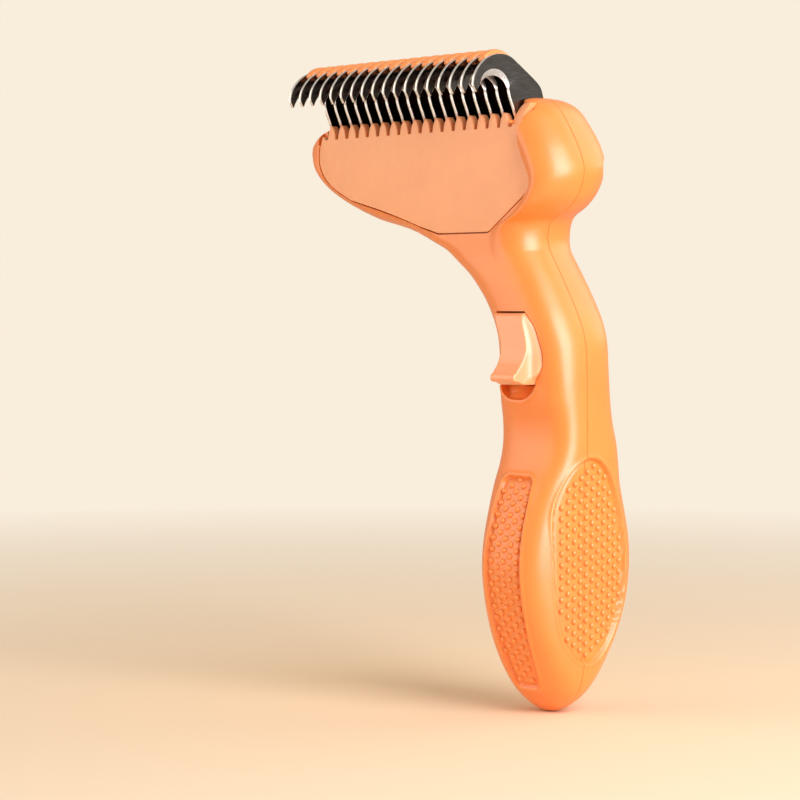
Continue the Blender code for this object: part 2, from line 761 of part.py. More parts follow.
def add_comb():
    """Ejector comb: bar, 17 fingers between the blades, end pins and the crank."""
    left = BLADE_X - PITCH * (BLADES - 1) - 1.6
    right = BLADE_X + 0.9
    meshes = [cylinder("bar", PIVOT, BAR_R, "X", left, right + 0.2)]
    meshes.append(cylinder("pins", PIVOT, PIN_R, "X", -81.6, 4.2, 12))
    for k in range(BLADES - 1):
        x = BLADE_X - PITCH * (k + 0.5)
        low, high = x - FINGER_WIDE / 2, x + FINGER_WIDE / 2
        meshes.append(prism("finger", finger_outline(), "X", low, high))
    pin = crank_pin()
    across = np.array((pin[1] - PIVOT[1], PIVOT[0] - pin[0])) / CRANK_R
    arm = [tuple(np.array(PIVOT) + 2.4 * across), tuple(np.array(pin) + 2.0 * across)]
    arm += [tuple(np.array(pin) - 2.0 * across), tuple(np.array(PIVOT) - 2.4 * across)]
    meshes.append(prism("crank_arm", arm, "X", right, right + 1.9))
    meshes.append(cylinder("crank_eye", pin, 2.2, "X", right, right + 1.9))
    meshes.append(cylinder("crank_pin", pin, PIN_R, "X", right + 1.0, 0.4))
    mesh = joined("ejector_comb", meshes, solver="MANIFOLD")
    comb = add_part("ejector_comb", mesh, comb_orange())
    comb.data.transform(Matrix.Translation((0, -PIVOT[0] * MM, -PIVOT[1] * MM)))
    comb.location = (0, PIVOT[0] * MM, PIVOT[1] * MM)


def add_trigger():
    """Trigger: the button in the window, a flange behind it and a slotted tongue."""
    views = [
        prism("button_side", trigger_outline(), "X", -8.0, 8.0),
        prism("button_front", trigger_front(), "Y", -30.0, 0.0),
        prism("button_plan", trigger_plan(), "Z", 70.0, 110.0),
    ]
    button = joined("button", views, "INTERSECT")
    lean_over(button)
    foot, top = TRIGGER_FOOT, TRIGGER_TOP + 0.9
    right = ((7.5, foot), (7.5, 89.5), (5.4, 96.0), (3.0, top))
    plate = (*right, (-8.4, top), (-8.4, 93.0), (-7.5, 90.0), (-7.5, foot))
    flange = prism("flange", plate, "Y", FLANGE_BACK - 0.8, FLANGE_BACK)
    low, high = (2.1, FLANGE_BACK - 0.5, DRIVE_Z - 6.4), (4.1, 3.0, DRIVE_Z + 3.0)
    mesh = joined("trigger", [button, flange, box("tongue", low, high)])
    trigger = add_part("trigger", mesh, trigger_peach())
    slope = DRIVE_R + 0.15
    slot = arc((0.0, DRIVE_Z), slope, -45, 135, 6)
    slot += arc((-TRAVEL, DRIVE_Z - TRAVEL), slope, 135, 315, 6)
    boolean(trigger, add_cutter("tongue_slot", prism("tongue_slot", slot, "X", 1.8, 5.0)))


def add_drive_rod():
    """Rod from the spring up to a slotted yoke on the comb's crank, bent past the neck."""
    bar = (
        (-1.5, 80.0),
        (1.5, 80.0),
        (1.5, 98.5),
        (-5.0, 104.5),
        (-5.0, 127.0),
        (0.1, 133.0),
        (0.1, 143.0),
        (-1.9, 143.0),
        (-1.9, 134.4),
        (-8.6, 128.0),
        (-8.6, 102.5),
        (-1.5, 96.4),
    )
    pin = crank_pin()
    head = ((1.5, pin[1] + 2.4), (-3.4, pin[1] + 2.4), (-5.7, pin[1] + 0.6))
    pieces = [
        prism("bar", bar, "Y", -ROD_HALF, ROD_HALF),
        prism("yoke", ((-5.7, 139.9), (-1.5, 138.0), (1.5, 138.0), *head), "X", -1.9, 0.1),
        cylinder("drive_pin", (0.0, DRIVE_Z), DRIVE_R, "X", 1.0, 4.1),
        cylinder("foot", (0.0, 0.0), 2.0, "Z", SPRING_TOP - 6.0, 81.0),
        cylinder("cap", (0.0, 0.0), 4.0, "Z", SPRING_TOP + 0.4, 81.0, 20),
    ]
    rod = add_part("drive_rod", joined("drive_rod", pieces), carrier_black())
    ends = ((pin[0] + 0.1, pin[1]), (pin[0] - 0.3, pin[1]))
    slot = arc(ends[0], PIN_R + 0.15, -90, 90, 6) + arc(ends[1], PIN_R + 0.15, 90, 270, 6)
    boolean(rod, add_cutter("yoke_slot", prism("yoke_slot", slot, "X", -3.0, 1.0)))


def add_spring():
    """Compression spring between a wall in the handle and the cap of the drive rod."""
    data = bpy.data.curves.new("return_spring", "CURVE")
    data.dimensions = "3D"
    data.bevel_depth = SPRING_WIRE * MM
    data.bevel_resolution = 2
    data.use_fill_caps = True
    low, high = SPRING_FOOT + SPRING_WIRE + 0.05, SPRING_TOP + 0.3 - SPRING_WIRE
    count = 12 * SPRING_TURNS
    spline = data.splines.new("POLY")
    spline.points.add(count)
    for k in range(count + 1):
        turn = 2 * math.pi * SPRING_TURNS * k / count
        x, y = SPRING_R * math.cos(turn), SPRING_R * math.sin(turn)
        z = low + (high - low) * k / count
        spline.points[k].co = (x * MM, y * MM, z * MM, 1.0)
    mesh = mesh_of_curve(data)
    mesh.shade_smooth()
    add_part("return_spring", mesh, bare_steel("spring_steel"))


def add_screws():
    """Pan-head screws from the back shell into the posts of the front shell."""
    profile = ((0.0, -6.0), (0.7, -5.4), (1.15, -4.6), (1.15, 5.3), (2.4, 5.3), (2.4, 6.5))
    profile += ((1.8, 7.1), (0.9, 7.3), (0.0, 7.3))
    for k, (x, z) in enumerate(SCREWS):
        name = f"shell_screw_{k + 1}"
        shape = bmesh.new()
        line = [shape.verts.new((r * MM, 0.0, y * MM)) for r, y in profile]
        for a, b in zip(line, line[1:]):
            shape.edges.new((a, b))
        screw = add_part(name, finished(name, shape), bare_steel("screw_steel"))
        turn = screw.modifiers.new("turned", "SCREW")
        turn.steps = turn.render_steps = 18
        turn.use_merge_vertices = True
        turn.merge_threshold = 0.00001
        turn.use_smooth_shade = True
        turn.use_normal_calculate = True
        screw.rotation_euler = (-math.pi / 2, 0.0, 0.0)
        screw.location = (x * MM, 0.0, z * MM)
        recess = cylinder(f"drive_{k}", (x, z), 0.95, "Y", 6.3, 9.0, 6)
        boolean(screw, add_cutter(f"drive_{k}", recess))


clear_scene()
PARTS = collection("dematting_comb")
CUTTERS = collection("cutters", hidden=True)
CARRIER = foot_empty()
PAD_FLOOR = add_cutter("pad_floor", body_mesh("pad_floor", inset=0.7))
add_shells()
add_face_plate()
add_blades()
add_carrier()
add_comb()
add_trigger()
add_drive_rod()
add_spring()
add_screws()
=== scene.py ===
"""Looks of the pet dematting comb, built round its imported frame.

Shapes are drawn in millimetres from the foot of the handle, where the two shells part
on y = 0, and are put in the row frame when they are done."""

import json
import math

import bmesh
import bpy
import numpy as np
from mathutils import Matrix, Vector
from mathutils.bvhtree import BVHTree


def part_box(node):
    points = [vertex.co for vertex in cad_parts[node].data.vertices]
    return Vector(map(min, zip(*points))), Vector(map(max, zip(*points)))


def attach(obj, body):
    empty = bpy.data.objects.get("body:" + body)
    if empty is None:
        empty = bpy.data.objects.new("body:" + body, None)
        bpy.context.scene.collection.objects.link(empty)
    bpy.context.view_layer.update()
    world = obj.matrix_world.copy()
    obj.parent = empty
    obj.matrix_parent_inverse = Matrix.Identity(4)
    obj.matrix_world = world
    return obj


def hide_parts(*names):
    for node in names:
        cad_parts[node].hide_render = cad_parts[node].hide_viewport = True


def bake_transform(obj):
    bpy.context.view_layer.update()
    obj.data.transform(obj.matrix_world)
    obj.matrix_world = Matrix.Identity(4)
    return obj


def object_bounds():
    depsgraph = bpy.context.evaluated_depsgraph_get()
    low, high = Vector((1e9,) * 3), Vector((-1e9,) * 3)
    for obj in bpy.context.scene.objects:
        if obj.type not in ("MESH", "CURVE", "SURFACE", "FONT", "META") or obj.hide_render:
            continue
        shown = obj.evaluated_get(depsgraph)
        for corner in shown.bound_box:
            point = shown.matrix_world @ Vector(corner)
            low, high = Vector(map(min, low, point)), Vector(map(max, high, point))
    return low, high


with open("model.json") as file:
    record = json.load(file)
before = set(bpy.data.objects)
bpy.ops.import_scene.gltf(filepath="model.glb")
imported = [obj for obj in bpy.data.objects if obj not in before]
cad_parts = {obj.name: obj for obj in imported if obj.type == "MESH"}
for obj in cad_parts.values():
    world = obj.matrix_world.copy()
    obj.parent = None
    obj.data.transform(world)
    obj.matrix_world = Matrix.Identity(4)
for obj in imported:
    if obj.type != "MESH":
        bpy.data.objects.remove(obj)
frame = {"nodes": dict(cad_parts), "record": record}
CAD_BOX = [list(corner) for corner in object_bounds()]

MM = 0.001
# The comb's hinge line, (y, z), and the last blade's x are known from the foot of the handle
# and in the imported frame, so they fix where the foot lies in the row.
HINGE = next(joint for joint in frame["record"]["behaviour"]["joints"] if joint["type"] == "hinge")
PIVOT = (6.5, 144.0)
BLADE_X = -5.2
LAST_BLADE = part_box("blade_18")
LAST_X = 0.5 * (LAST_BLADE[0][0] + LAST_BLADE[1][0])
FOOT = Vector((LAST_X - BLADE_X * MM, HINGE["pos_m"][1] - PIVOT[0] * MM, 0.0))
TO_ROW = Matrix.Translation(FOOT) @ Matrix.Scale(MM, 4)

# Handle sections: height, left and right edge, front and back depth, squareness.
HANDLE_ROWS = (
    (0.4, -2.7, 2.7, 2.0, 2.4, 2.0),
    (1.9, -5.8, 5.8, 4.0, 4.8, 2.0),
    (4.5, -8.8, 8.8, 6.4, 7.7, 2.1),
    (8.0, -10.8, 10.8, 8.7, 10.4, 2.3),
    (13.0, -11.8, 11.8, 11.0, 13.2, 2.8),
    (20.0, -12.0, 12.0, 13.9, 17.2, 3.3),
    (28.0, -12.0, 12.0, 16.3, 20.6, 3.4),
    (36.0, -12.0, 12.0, 17.5, 21.9, 3.4),
    (43.0, -12.0, 12.0, 17.0, 21.6, 3.4),
    (50.0, -12.0, 12.0, 15.2, 19.9, 3.4),
    (57.0, -12.2, 12.2, 12.6, 17.7, 3.4),
    (62.5, -12.5, 12.5, 9.8, 16.8, 3.3),
    (67.5, -12.6, 12.6, 8.4, 16.0, 3.2),
    (73.0, -12.6, 12.6, 8.6, 14.4, 3.1),
    (79.0, -12.5, 12.5, 10.0, 13.6, 3.0),
    (86.0, -12.4, 12.4, 10.7, 13.2, 2.9),
    (93.0, -12.6, 11.8, 11.2, 13.4, 2.8),
    (98.5, -14.6, 9.8, 11.2, 14.0, 2.7),
    (104.0, -18.3, 6.8, 11.0, 14.3, 2.6),
    (109.5, -23.6, 3.4, 10.8, 14.4, 2.6),
)
# Head ribs: outer point, inner point, depths at the outer end, rounding at both ends, and
# how far the back of the bulb is lifted.
HEAD_ROWS = (
    (-0.7, 115.8, -28.6, 112.8, 10.8, 14.4, 12.0, 10.5, 0.0),
    (-1.4, 119.9, -32.6, 115.8, 11.2, 14.4, 12.0, 9.5, 1.0),
    (0.0, 123.4, -35.0, 117.0, 11.8, 14.4, 12.0, 8.5, 2.5),
    (5.0, 126.0, -37.0, 117.9, 12.4, 14.5, 12.5, 8.0, 3.5),
    (9.0, 129.5, -38.8, 118.6, 13.0, 14.5, 13.5, 8.0, 4.5),
    (11.1, 135.0, -40.6, 119.3, 13.2, 14.5, 14.0, 8.0, 5.0),
    (9.4, 140.6, -42.4, 119.9, 13.2, 14.5, 14.0, 8.0, 5.0),
    (5.8, 146.6, -44.0, 120.5, 12.8, 14.3, 14.0, 8.0, 4.0),
    (1.8, 151.6, -45.6, 121.0, 12.0, 14.0, 13.0, 7.5, 2.5),
    (-3.4, 154.0, -47.4, 121.6, 10.9, 13.6, 11.0, 7.0, 1.2),
    (-10.0, 153.4, -49.6, 122.2, 9.9, 13.0, 8.0, 6.5, 0.4),
    (-22.0, 152.4, -53.4, 123.1, 9.9, 13.0, 5.5, 6.0, 0.0),
    (-38.0, 151.9, -59.0, 124.4, 9.9, 13.0, 5.0, 5.5, 0.0),
    (-54.0, 151.6, -66.2, 126.9, 9.9, 13.0, 5.0, 5.0, 0.0),
    (-66.0, 151.2, -72.8, 129.7, 9.9, 12.9, 5.0, 5.0, 0.0),
    (-74.0, 150.8, -78.0, 132.7, 9.9, 12.6, 5.0, 5.0, 0.0),
    (-79.0, 149.8, -81.6, 136.2, 9.7, 11.8, 4.6, 4.6, 0.0),
    (-82.4, 147.6, -83.5, 140.0, 8.6, 9.8, 3.4, 3.4, 0.0),
)
# Where the head ends, (x, z), and its depths at the inner ends of the ribs.
HEAD_END = (-84.1, 143.9)
HEAD_FRONT = 9.9
HEAD_BACK = 13.0
HEAD_SQUARENESS = 2.4
# How finely the shells are drawn, and their wall, grip pads and seam.
HANDLE_STEPS = 20
HEAD_STEPS = 10
RING_POINTS = 170
WALL = 2.4
PAD_DEPTH = 0.8
PADS_TOP = 84.0
FAR_OUTSIDE = -9.0
SEAM_HALF = 0.05
SEAM_DEPTH = 0.45
LIP_HALF = 0.004
SEAM_BEVEL = 0.17

# Blades, comb and the parts that move it.
BLADES = 18
PITCH = 4.14
BLADE_HALF = 0.4
FINGER_WIDE = 2.5
BAR_R = 3.1
PIN_R = 1.5
TRAVEL = 3.4
SWING = math.radians(24.0)
CRANK_R = 0.5 * TRAVEL / math.sin(SWING / 2)
PLATE_FRONT = -9.95
PLATE_BACK = -7.9
POCKET_BACK = PLATE_BACK + 0.2
NOTCH_Z = 147.0
TOOTH_Z = 150.0
FLANGE_BACK = -5.2
DRIVE_Z = 92.0
DRIVE_R = 1.3
SPRING_FOOT = 62.0
SPRING_TOP = 78.0
SPRING_R = 3.0
SPRING_WIRE = 0.45
SPRING_TURNS = 6
# Screws, (x, z), and the radii of their posts, pilot holes, through holes and sinkings.
SCREWS = ((0.0, 15.0), (0.0, 53.0), (-36.0, 124.0), (6.6, 136.4))
POST_R = 3.4
PILOT_R = 1.45
HOLE_R = 1.6
SINK_R = 2.8

# Right side of the trigger's window, (x, z), before it leans, and the button in it.
WINDOW_SIDE = (
    (5.1, 100.6),
    (5.9, 98.4),
    (6.5, 96.5),
    (6.7, 94.3),
    (6.8, 91.8),
    (7.0, 89.1),
    (6.9, 87.2),
    (6.1, 85.2),
    (5.0, 83.7),
    (4.5, 82.1),
)
LEAN_FROM = 90.0
TRIGGER_TOP = 100.2
SCOOP_X = -2.4
SCOOP_RIM = 82.0
TRIGGER_FOOT = 82.4
TRIGGER_GAP = 0.24

BUMP_R = 0.8
BUMP_HIGH = 0.72
BUMP_PITCH = (2.1, 2.85)
CREAM = (0.86, 0.66, 0.45)


# ---------------------------------------------------------------- shape helpers


def resample(keys, steps):
    """Catmull-Rom through rows of numbers."""
    keys = np.asarray(keys, float)
    ends = np.vstack([2 * keys[0] - keys[1], keys, 2 * keys[-1] - keys[-2]])
    made = []
    for k in range(len(keys) - 1):
        a, b, c, d = ends[k : k + 4]
        for t in np.arange(steps) / steps:
            made.append(
                b
                + 0.5 * t * (c - a)
                + t * t * (a - 2.5 * b + 2 * c - 0.5 * d)
                + t**3 * (1.5 * (b - c) + 0.5 * (d - a))
            )
    made.append(keys[-1])
    return np.array(made)


def through(points, steps):
    """A smooth curve through points, with its ends."""
    return [tuple(p) for p in resample(points, steps)]


def looped(points, steps):
    """A closed smooth curve through points."""
    keys = [points[-1], *points, *points[:2]]
    return through(keys, steps)[steps : -steps - 1]


def arc(centre, radius, start, end, count):
    """Points along an arc, its angles in degrees."""
    turns = [math.radians(start + (end - start) * k / count) for k in range(count + 1)]
    return [(centre[0] + radius * math.cos(t), centre[1] + radius * math.sin(t)) for t in turns]


def mirrored(half):
    """An outline from its right half, whose two ends lie off the centre line."""
    return list(half) + [(-x, z) for x, z in list(half)[::-1]]


def finished(name, shape):
    """The mesh of a shape, which is freed."""
    mesh = bpy.data.meshes.new(name)
    shape.to_mesh(mesh)
    shape.free()
    return mesh


def smooth(mesh, degrees=32.0):
    """Smooth shading, broken at edges sharper than an angle."""
    mesh.shade_smooth()
    mesh.set_sharp_from_angle(angle=math.radians(degrees))
    return mesh


def offset(outline, width):
    """The outline drawn in by the width, square to its neighbours. It runs anticlockwise."""
    points = np.asarray(outline, float)
    before = points - np.roll(points, 1, axis=0)
    after = np.roll(points, -1, axis=0) - points
    before /= np.linalg.norm(before, axis=1)[:, None] + 1e-9
    after /= np.linalg.norm(after, axis=1)[:, None] + 1e-9
    run = before + after
    run /= np.linalg.norm(run, axis=1)[:, None] + 1e-9
    inward = np.stack([-run[:, 1], run[:, 0]], axis=1)
    miter = np.clip(np.sum(run * after, axis=1), 0.5, 1.0)
    return points + inward * (np.broadcast_to(width, len(points)) / miter)[:, None]


def anticlockwise(outline):
    """The outline, turned round if it runs clockwise."""
    points = np.asarray(outline, float)
    x, y = points[:, 0], points[:, 1]
    turned = np.sum(x * np.roll(y, -1) - y * np.roll(x, -1)) > 0
    return points if turned else points[::-1]


# Where the two directions of an outline, and the one across it, lie.
LAID = {"X": (2, 0, 1), "Y": (0, 2, 1), "Z": (0, 1, 2)}


def laid(axis, a, b, along):
    """A point from an outline's two numbers and its place along the axis."""
    values = (a, b, along)
    return tuple(values[k] for k in LAID[axis])


def bridged(shape, rings):
    """Faces between each ring of vertices and the next."""
    made = []
    for one, two in zip(rings, rings[1:]):
        for k in range(len(one)):
            n = (k + 1) % len(one)
            made.append(shape.faces.new((one[k], one[n], two[n], two[k])))
    return made


def slab(name, outline, axis, low, high, edge=0.0, steps=3):
    """A flat outline made thick along the axis, with its edges rounded by a radius."""
    outline = anticlockwise(outline)
    levels = [(low, 0.0), (high, 0.0)]
    if edge:
        turns = [0.5 * math.pi * k / steps for k in range(steps + 1)]
        lower = [(low + edge * (1 - math.sin(t)), edge * (1 - math.cos(t))) for t in turns]
        levels = lower[::-1] + [(low + high - along, width) for along, width in lower]
    shape = bmesh.new()
    rings = []
    for along, width in levels:
        ring = offset(outline, width) if width else outline
        rings.append([shape.verts.new(laid(axis, a, b, along)) for a, b in ring])
    bridged(shape, rings)
    shape.faces.new(rings[0][::-1])
    shape.faces.new(rings[-1])
    bmesh.ops.recalc_face_normals(shape, faces=shape.faces)
    bmesh.ops.triangulate(shape, faces=[f for f in shape.faces if len(f.verts) > 4])
    return finished(name, shape)


def box(name, low, high):
    outline = ((low[0], low[1]), (high[0], low[1]), (high[0], high[1]), (low[0], high[1]))
    return slab(name, outline, "Z", low[2], high[2])


def round_bar(name, centre, radius, axis, low, high, sides=32, edge=0.0):
    turns = [2 * math.pi * k / sides for k in range(sides)]
    ring = [(centre[0] + radius * math.cos(t), centre[1] + radius * math.sin(t)) for t in turns]
    return slab(name, ring, axis, low, high, edge)


def linked(name, data):
    """A new object in the scene."""
    obj = bpy.data.objects.new(name, data)
    bpy.context.scene.collection.objects.link(obj)
    return obj


def evaluated(obj, name):
    """The object's mesh with its modifiers applied."""
    graph = bpy.context.evaluated_depsgraph_get()
    mesh = bpy.data.meshes.new_from_object(obj.evaluated_get(graph))
    mesh.name = name
    return mesh


def combined(name, meshes, operation, solver="MANIFOLD"):
    """One mesh from several, by the same Boolean step for each after the first."""
    objs = [linked(f"{name}_{k}", mesh) for k, mesh in enumerate(meshes)]
    for other in objs[1:]:
        step = objs[0].modifiers.new(other.name, "BOOLEAN")
        step.operation = operation
        step.solver = solver
        step.object = other
    mesh = evaluated(objs[0], name)
    for obj in objs:
        bpy.data.objects.remove(obj)
    return mesh


def gathered(name, meshes):
    """One mesh that holds several separate ones."""
    shape = bmesh.new()
    for mesh in meshes:
        shape.from_mesh(mesh)
    return finished(name, shape)


def add_piece(name, mesh, looks, body, nodes=()):
    """A finished piece in the row frame, riding on its body."""
    mesh.transform(TO_ROW)
    if mesh.materials:
        mesh.materials.clear()
    for look in looks:
        mesh.materials.append(look)
    piece = linked(name, mesh)
    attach(piece, body)
    if nodes:
        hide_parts(*nodes)
    return piece


# ---------------------------------------------------------------- body of the handle


def body_rows():
    """Ribs of the body, from the foot of the handle to the end of the head."""
    rows = []
    for z, left, right, front, back, square in HANDLE_ROWS:
        half = 0.5 * (right - left)
        rows.append((right, z, left, z, front, front, back, back, half, half, square, 0.0))
    for ox, oz, ix, iz, front, back, round_out, round_in, lift in HEAD_ROWS:
        inner = (min(front, HEAD_FRONT), min(back, HEAD_BACK))
        ends = (ox, oz, ix, iz, front, inner[0], back, inner[1], round_out, round_in)
        rows.append((*ends, HEAD_SQUARENESS, lift))
    return np.array(rows, float)


def fine_rows():
    """The ribs with smooth steps between them, finer along the handle than in the head."""
    rows = body_rows()
    handle = resample(rows[: len(HANDLE_ROWS) + 1], HANDLE_STEPS)
    whole = resample(rows, HEAD_STEPS)
    return np.vstack([handle, whole[len(HANDLE_ROWS) * HEAD_STEPS + 1 :]])


def eased(share):
    """A smooth step from 0 to 1."""
    share = np.clip(share, 0, 1)
    return share * share * (3 - 2 * share)


def rounded(distance, radius, square):
    """Height of a rounded edge at a distance from it, as a share of the full depth."""
    left = 1 - np.clip(distance / radius, 0, 1)
    return (1 - left**square) ** (1 / square)


def half_rib(row, side, inset=0.0, dense=1200):
    """Closely spaced points over one side of a rib, from its outer to its inner end."""
    ox, oz, ix, iz, front_out, front_in, back_out, back_in, r_out, r_in, square, lift = row
    near, far = (front_out, front_in) if side < 0 else (back_out, back_in)
    length = math.hypot(ox - ix, oz - iz)
    share = 0.5 - 0.5 * np.cos(np.linspace(0, np.pi, dense + 1))
    d_out = length * share
    blend = eased((11.8 - d_out) / 6.2) if side < 0 else eased((26 - d_out) / 16)
    edge = rounded(d_out, max(r_out - inset, 1.5), square)
    edge = edge * rounded(length - d_out, max(r_in - inset, 1.5), square)
    depth = edge * (far + (near - far) * blend - inset)
    raised = lift * blend * edge**2 * max(side, 0)
    return np.stack([ox + (ix - ox) * share, side * depth, oz + (iz - oz) * share + raised], axis=1)


def by_length(points, count, first=None):
    """Points at even distances along a line of points, with one more near each end."""
    run = np.concatenate([[0], np.cumsum(np.linalg.norm(np.diff(points, axis=0), axis=1))])
    at = np.linspace(0, run[-1], count)
    if first:
        at = np.concatenate([[0, first], at[1:-1], [run[-1] - first, run[-1]]])
    return np.stack([np.interp(at, run, points[:, k]) for k in range(3)], axis=1)


def signed_distance(at, outline):
    """Distance of flat points from an outline, negative outside and positive inside."""
    at, ring = np.asarray(at), np.asarray(outline)
    nearest = np.full(len(at), 1e9)
    inside = np.zeros(len(at), bool)
    for a, b in zip(ring, np.roll(ring, -1, axis=0)):
        run = b - a
        t = np.clip(((at - a) @ run) / (run @ run), 0, 1)
        nearest = np.minimum(nearest, np.linalg.norm(at - a - t[:, None] * run, axis=1))
        if a[1] != b[1]:
            crossing = (a[1] > at[:, 1]) != (b[1] > at[:, 1])
            x = a[0] + (at[:, 1] - a[1]) / (b[1] - a[1]) * run[0]
            inside ^= crossing & (at[:, 0] < x)
    return np.where(inside, nearest, -nearest)


def front_pad_outline():
    """Recess for the bumps on the front of the grip, (x, z)."""
    upper = arc((3.2, 57.8), 2.0, 90, 0, 6)
    side = through(((5.6, 52.0), (5.9, 40.0), (5.8, 26.0), (5.0, 12.0), (4.4, 8.8)), 5)
    half = [(0.001, 59.8)] + upper + side + arc((2.4, 8.2), 1.8, 0, -90, 6)
    return mirrored(half + [(0.001, 6.4)])


def side_pad_outline():
    """Oval recess on each side of the grip, (y, z)."""
    keys = (
        (1.8, 64.2),
        (8.2, 60.6),
        (13.0, 52.0),
        (15.8, 41.0),
        (15.2, 30.0),
        (11.8, 20.4),
        (6.8, 14.8),
        (1.5, 12.8),
        (-3.6, 15.2),
        (-7.8, 21.4),
        (-9.6, 30.6),
        (-10.3, 41.0),
        (-10.0, 51.6),
        (-5.0, 60.6),
    )
    return looped(keys, 6)


def pad_depth(points, side):
    """How deep the pads sink the surface at each point. Each has a soft raised lip, and so has
    the hollow below the trigger."""
    from_side = signed_distance(points[:, 1:], side_pad_outline())
    sides = np.where(np.abs(points[:, 0]) > 6.0, from_side, FAR_OUTSIDE)
    front, rim = np.full(len(points), FAR_OUTSIDE), 0.0
    if side < 0:
        across = signed_distance(points[:, [0, 2]], front_pad_outline())
        front = np.where(points[:, 1] < -5.0, across, FAR_OUTSIDE)
        hollow = signed_distance(points[:, [0, 2]], scoop_outline())
        low = (points[:, 1] < -3.0) & (points[:, 2] < SCOOP_RIM)
        rim = np.where(low, 0.3 * np.exp(-(((hollow + 0.5) / 0.45) ** 2)), 0.0)
    d = np.maximum(sides, front)
    lip = 0.22 * np.exp(-(((d + 0.45) / 0.4) ** 2))
    groove = 0.22 * np.exp(-(((d - 0.55) / 0.3) ** 2))
    return PAD_DEPTH * eased((d + 0.1) / 0.55) - lip + groove - rim


def shell_grid(side):
    """Rings of points over one shell, with the pads sunk and the seam eased. The last two
    points of a ring are a lip inside the seam, so that no light passes through it."""
    ribs = [by_length(half_rib(row, side), RING_POINTS, SEAM_BEVEL) for row in fine_rows()]
    grid = np.array(ribs)
    along, across = np.gradient(grid, axis=0), np.gradient(grid, axis=1)
    normal = np.cross(along, across)
    normal /= np.linalg.norm(normal, axis=2)[:, :, None] + 1e-9
    middle = np.array([0.0, 1.0, 0.0]) * side
    normal *= np.sign(normal @ middle + 1e-9)[:, :, None]
    flat = grid.reshape(-1, 3)
    depth = np.where(flat[:, 2] < PADS_TOP, pad_depth(flat, side), 0.0).reshape(grid.shape[:2])
    grid = grid - normal * depth[:, :, None]
    rib = grid[:, -1] - grid[:, 0]
    rib /= np.linalg.norm(rib, axis=1)[:, None]
    grid[:, 0] += rib * SEAM_BEVEL
    grid[:, -1] -= rib * SEAM_BEVEL
    grid[:, :, 1] += side * SEAM_HALF
    lips = np.stack([grid[:, -1] - rib * SEAM_DEPTH, grid[:, 0] + rib * SEAM_DEPTH], axis=1)
    lips[:, :, 1] = side * LIP_HALF
    return np.concatenate([grid, lips], axis=1)


def loft(name, rings, start, end):
    """A closed skin over rings of points, with a pole at each end."""
    shape = bmesh.new()
    made = [[shape.verts.new(p) for p in ring] for ring in rings]
    bridged(shape, made)
    for tip, ring in ((start, made[0]), (end, made[-1])):
        pole = shape.verts.new(tip)
        for k in range(len(ring)):
            shape.faces.new((pole, ring[k], ring[(k + 1) % len(ring)]))
    bmesh.ops.recalc_face_normals(shape, faces=shape.faces)
    return finished(name, shape)


def cavity_rows(inset):
    """Ribs with both ends drawn in from the outline by the inset."""
    rows = body_rows()
    ends = rows.copy()
    for k, row in enumerate(rows):
        before, after = rows[max(k - 1, 0)], rows[min(k + 1, len(rows) - 1)]
        rib = (row[2:4] - row[0:2]) / np.linalg.norm(row[2:4] - row[0:2])
        for at, sign in ((0, 1), (2, -1)):
            run = after[at : at + 2] - before[at : at + 2]
            run = run / max(np.linalg.norm(run), 1e-6)
            sine = abs(run[0] * rib[1] - run[1] * rib[0])
            ends[k][at : at + 2] = row[at : at + 2] + sign * rib * inset / max(sine, 0.55)
    return ends[[row[1] > 3.5 + inset and row[0] > -80.0 for row in ends]]


def cavity():
    """The hollow inside both shells, with its walls and screw posts left standing."""
    rows = cavity_rows(WALL)
    rings = []
    for row in rows:
        front = by_length(half_rib(row, -1, WALL + 0.3), 14)
        back = by_length(half_rib(row, 1, WALL), 14)
        rings.append(np.vstack([front, back[-2:0:-1]]))
    start = (0.0, 0.0, rows[0][1] - 0.8)
    end = (0.5 * (rows[-1][0] + rows[-1][2]) - 0.8, 0.0, 0.5 * (rows[-1][1] + rows[-1][3]))
    walls = [
        box("left", (-79.9, -99, 100), (-78.3, 99, 199)),
        box("right", (1.7, -99, 127.5), (3.3, 99, 199)),
        box("stem_guide", (-99, -99, 106.0), (99, 99, 107.6)),
        box("spring_seat", (-99, -99, 60.0), (99, 99, 62.0)),
        box("scoop_floor", (-8.0, -20.0, 76.5), (8.0, -4.5, 82.0)),
    ]
    walls += [round_bar("post", at, POST_R, "Y", -30.0, 30.0) for at in SCREWS]
    return combined("cavity", [loft("hollow", rings, start, end), *walls], "DIFFERENCE")


# ---------------------------------------------------------------- cuts in the shells


def plate_outline(grow=0.0):
    """Face plate seen from the front, (x, z), without its notches."""
    lower_left = through(
        ((-77.3, 147.4), (-78.5, 143.0), (-77.7, 138.4), (-73.4, 133.9), (-65.6, 130.0)), 8
    )
    lower = through(((-65.6, 130.0), (-50.3, 126.1), (-34.8, 121.3)), 4)
    corner = arc((-31.0, 122.5), 2.0, -107, -90, 3) + arc((-13.8, 124.0), 3.5, -90, -46, 6)
    right = arc((1.0, 132.0), 1.5, -46, 30, 6)
    edge = through(
        ((1.9, 134.2), (0.4, 136.6), (-1.3, 140.6), (-1.7, 144.4), (-0.4, 148.8), (2.3, 152.2)), 6
    )
    outline = lower_left + lower[1:-1] + corner + right + edge
    outline += [(3.0, 155.0), (-3.4, 155.0), (-3.4, TOOTH_Z - 3.0), (-76.9, TOOTH_Z - 3.0)]
    return outline if not grow else offset(anticlockwise(outline), -grow)


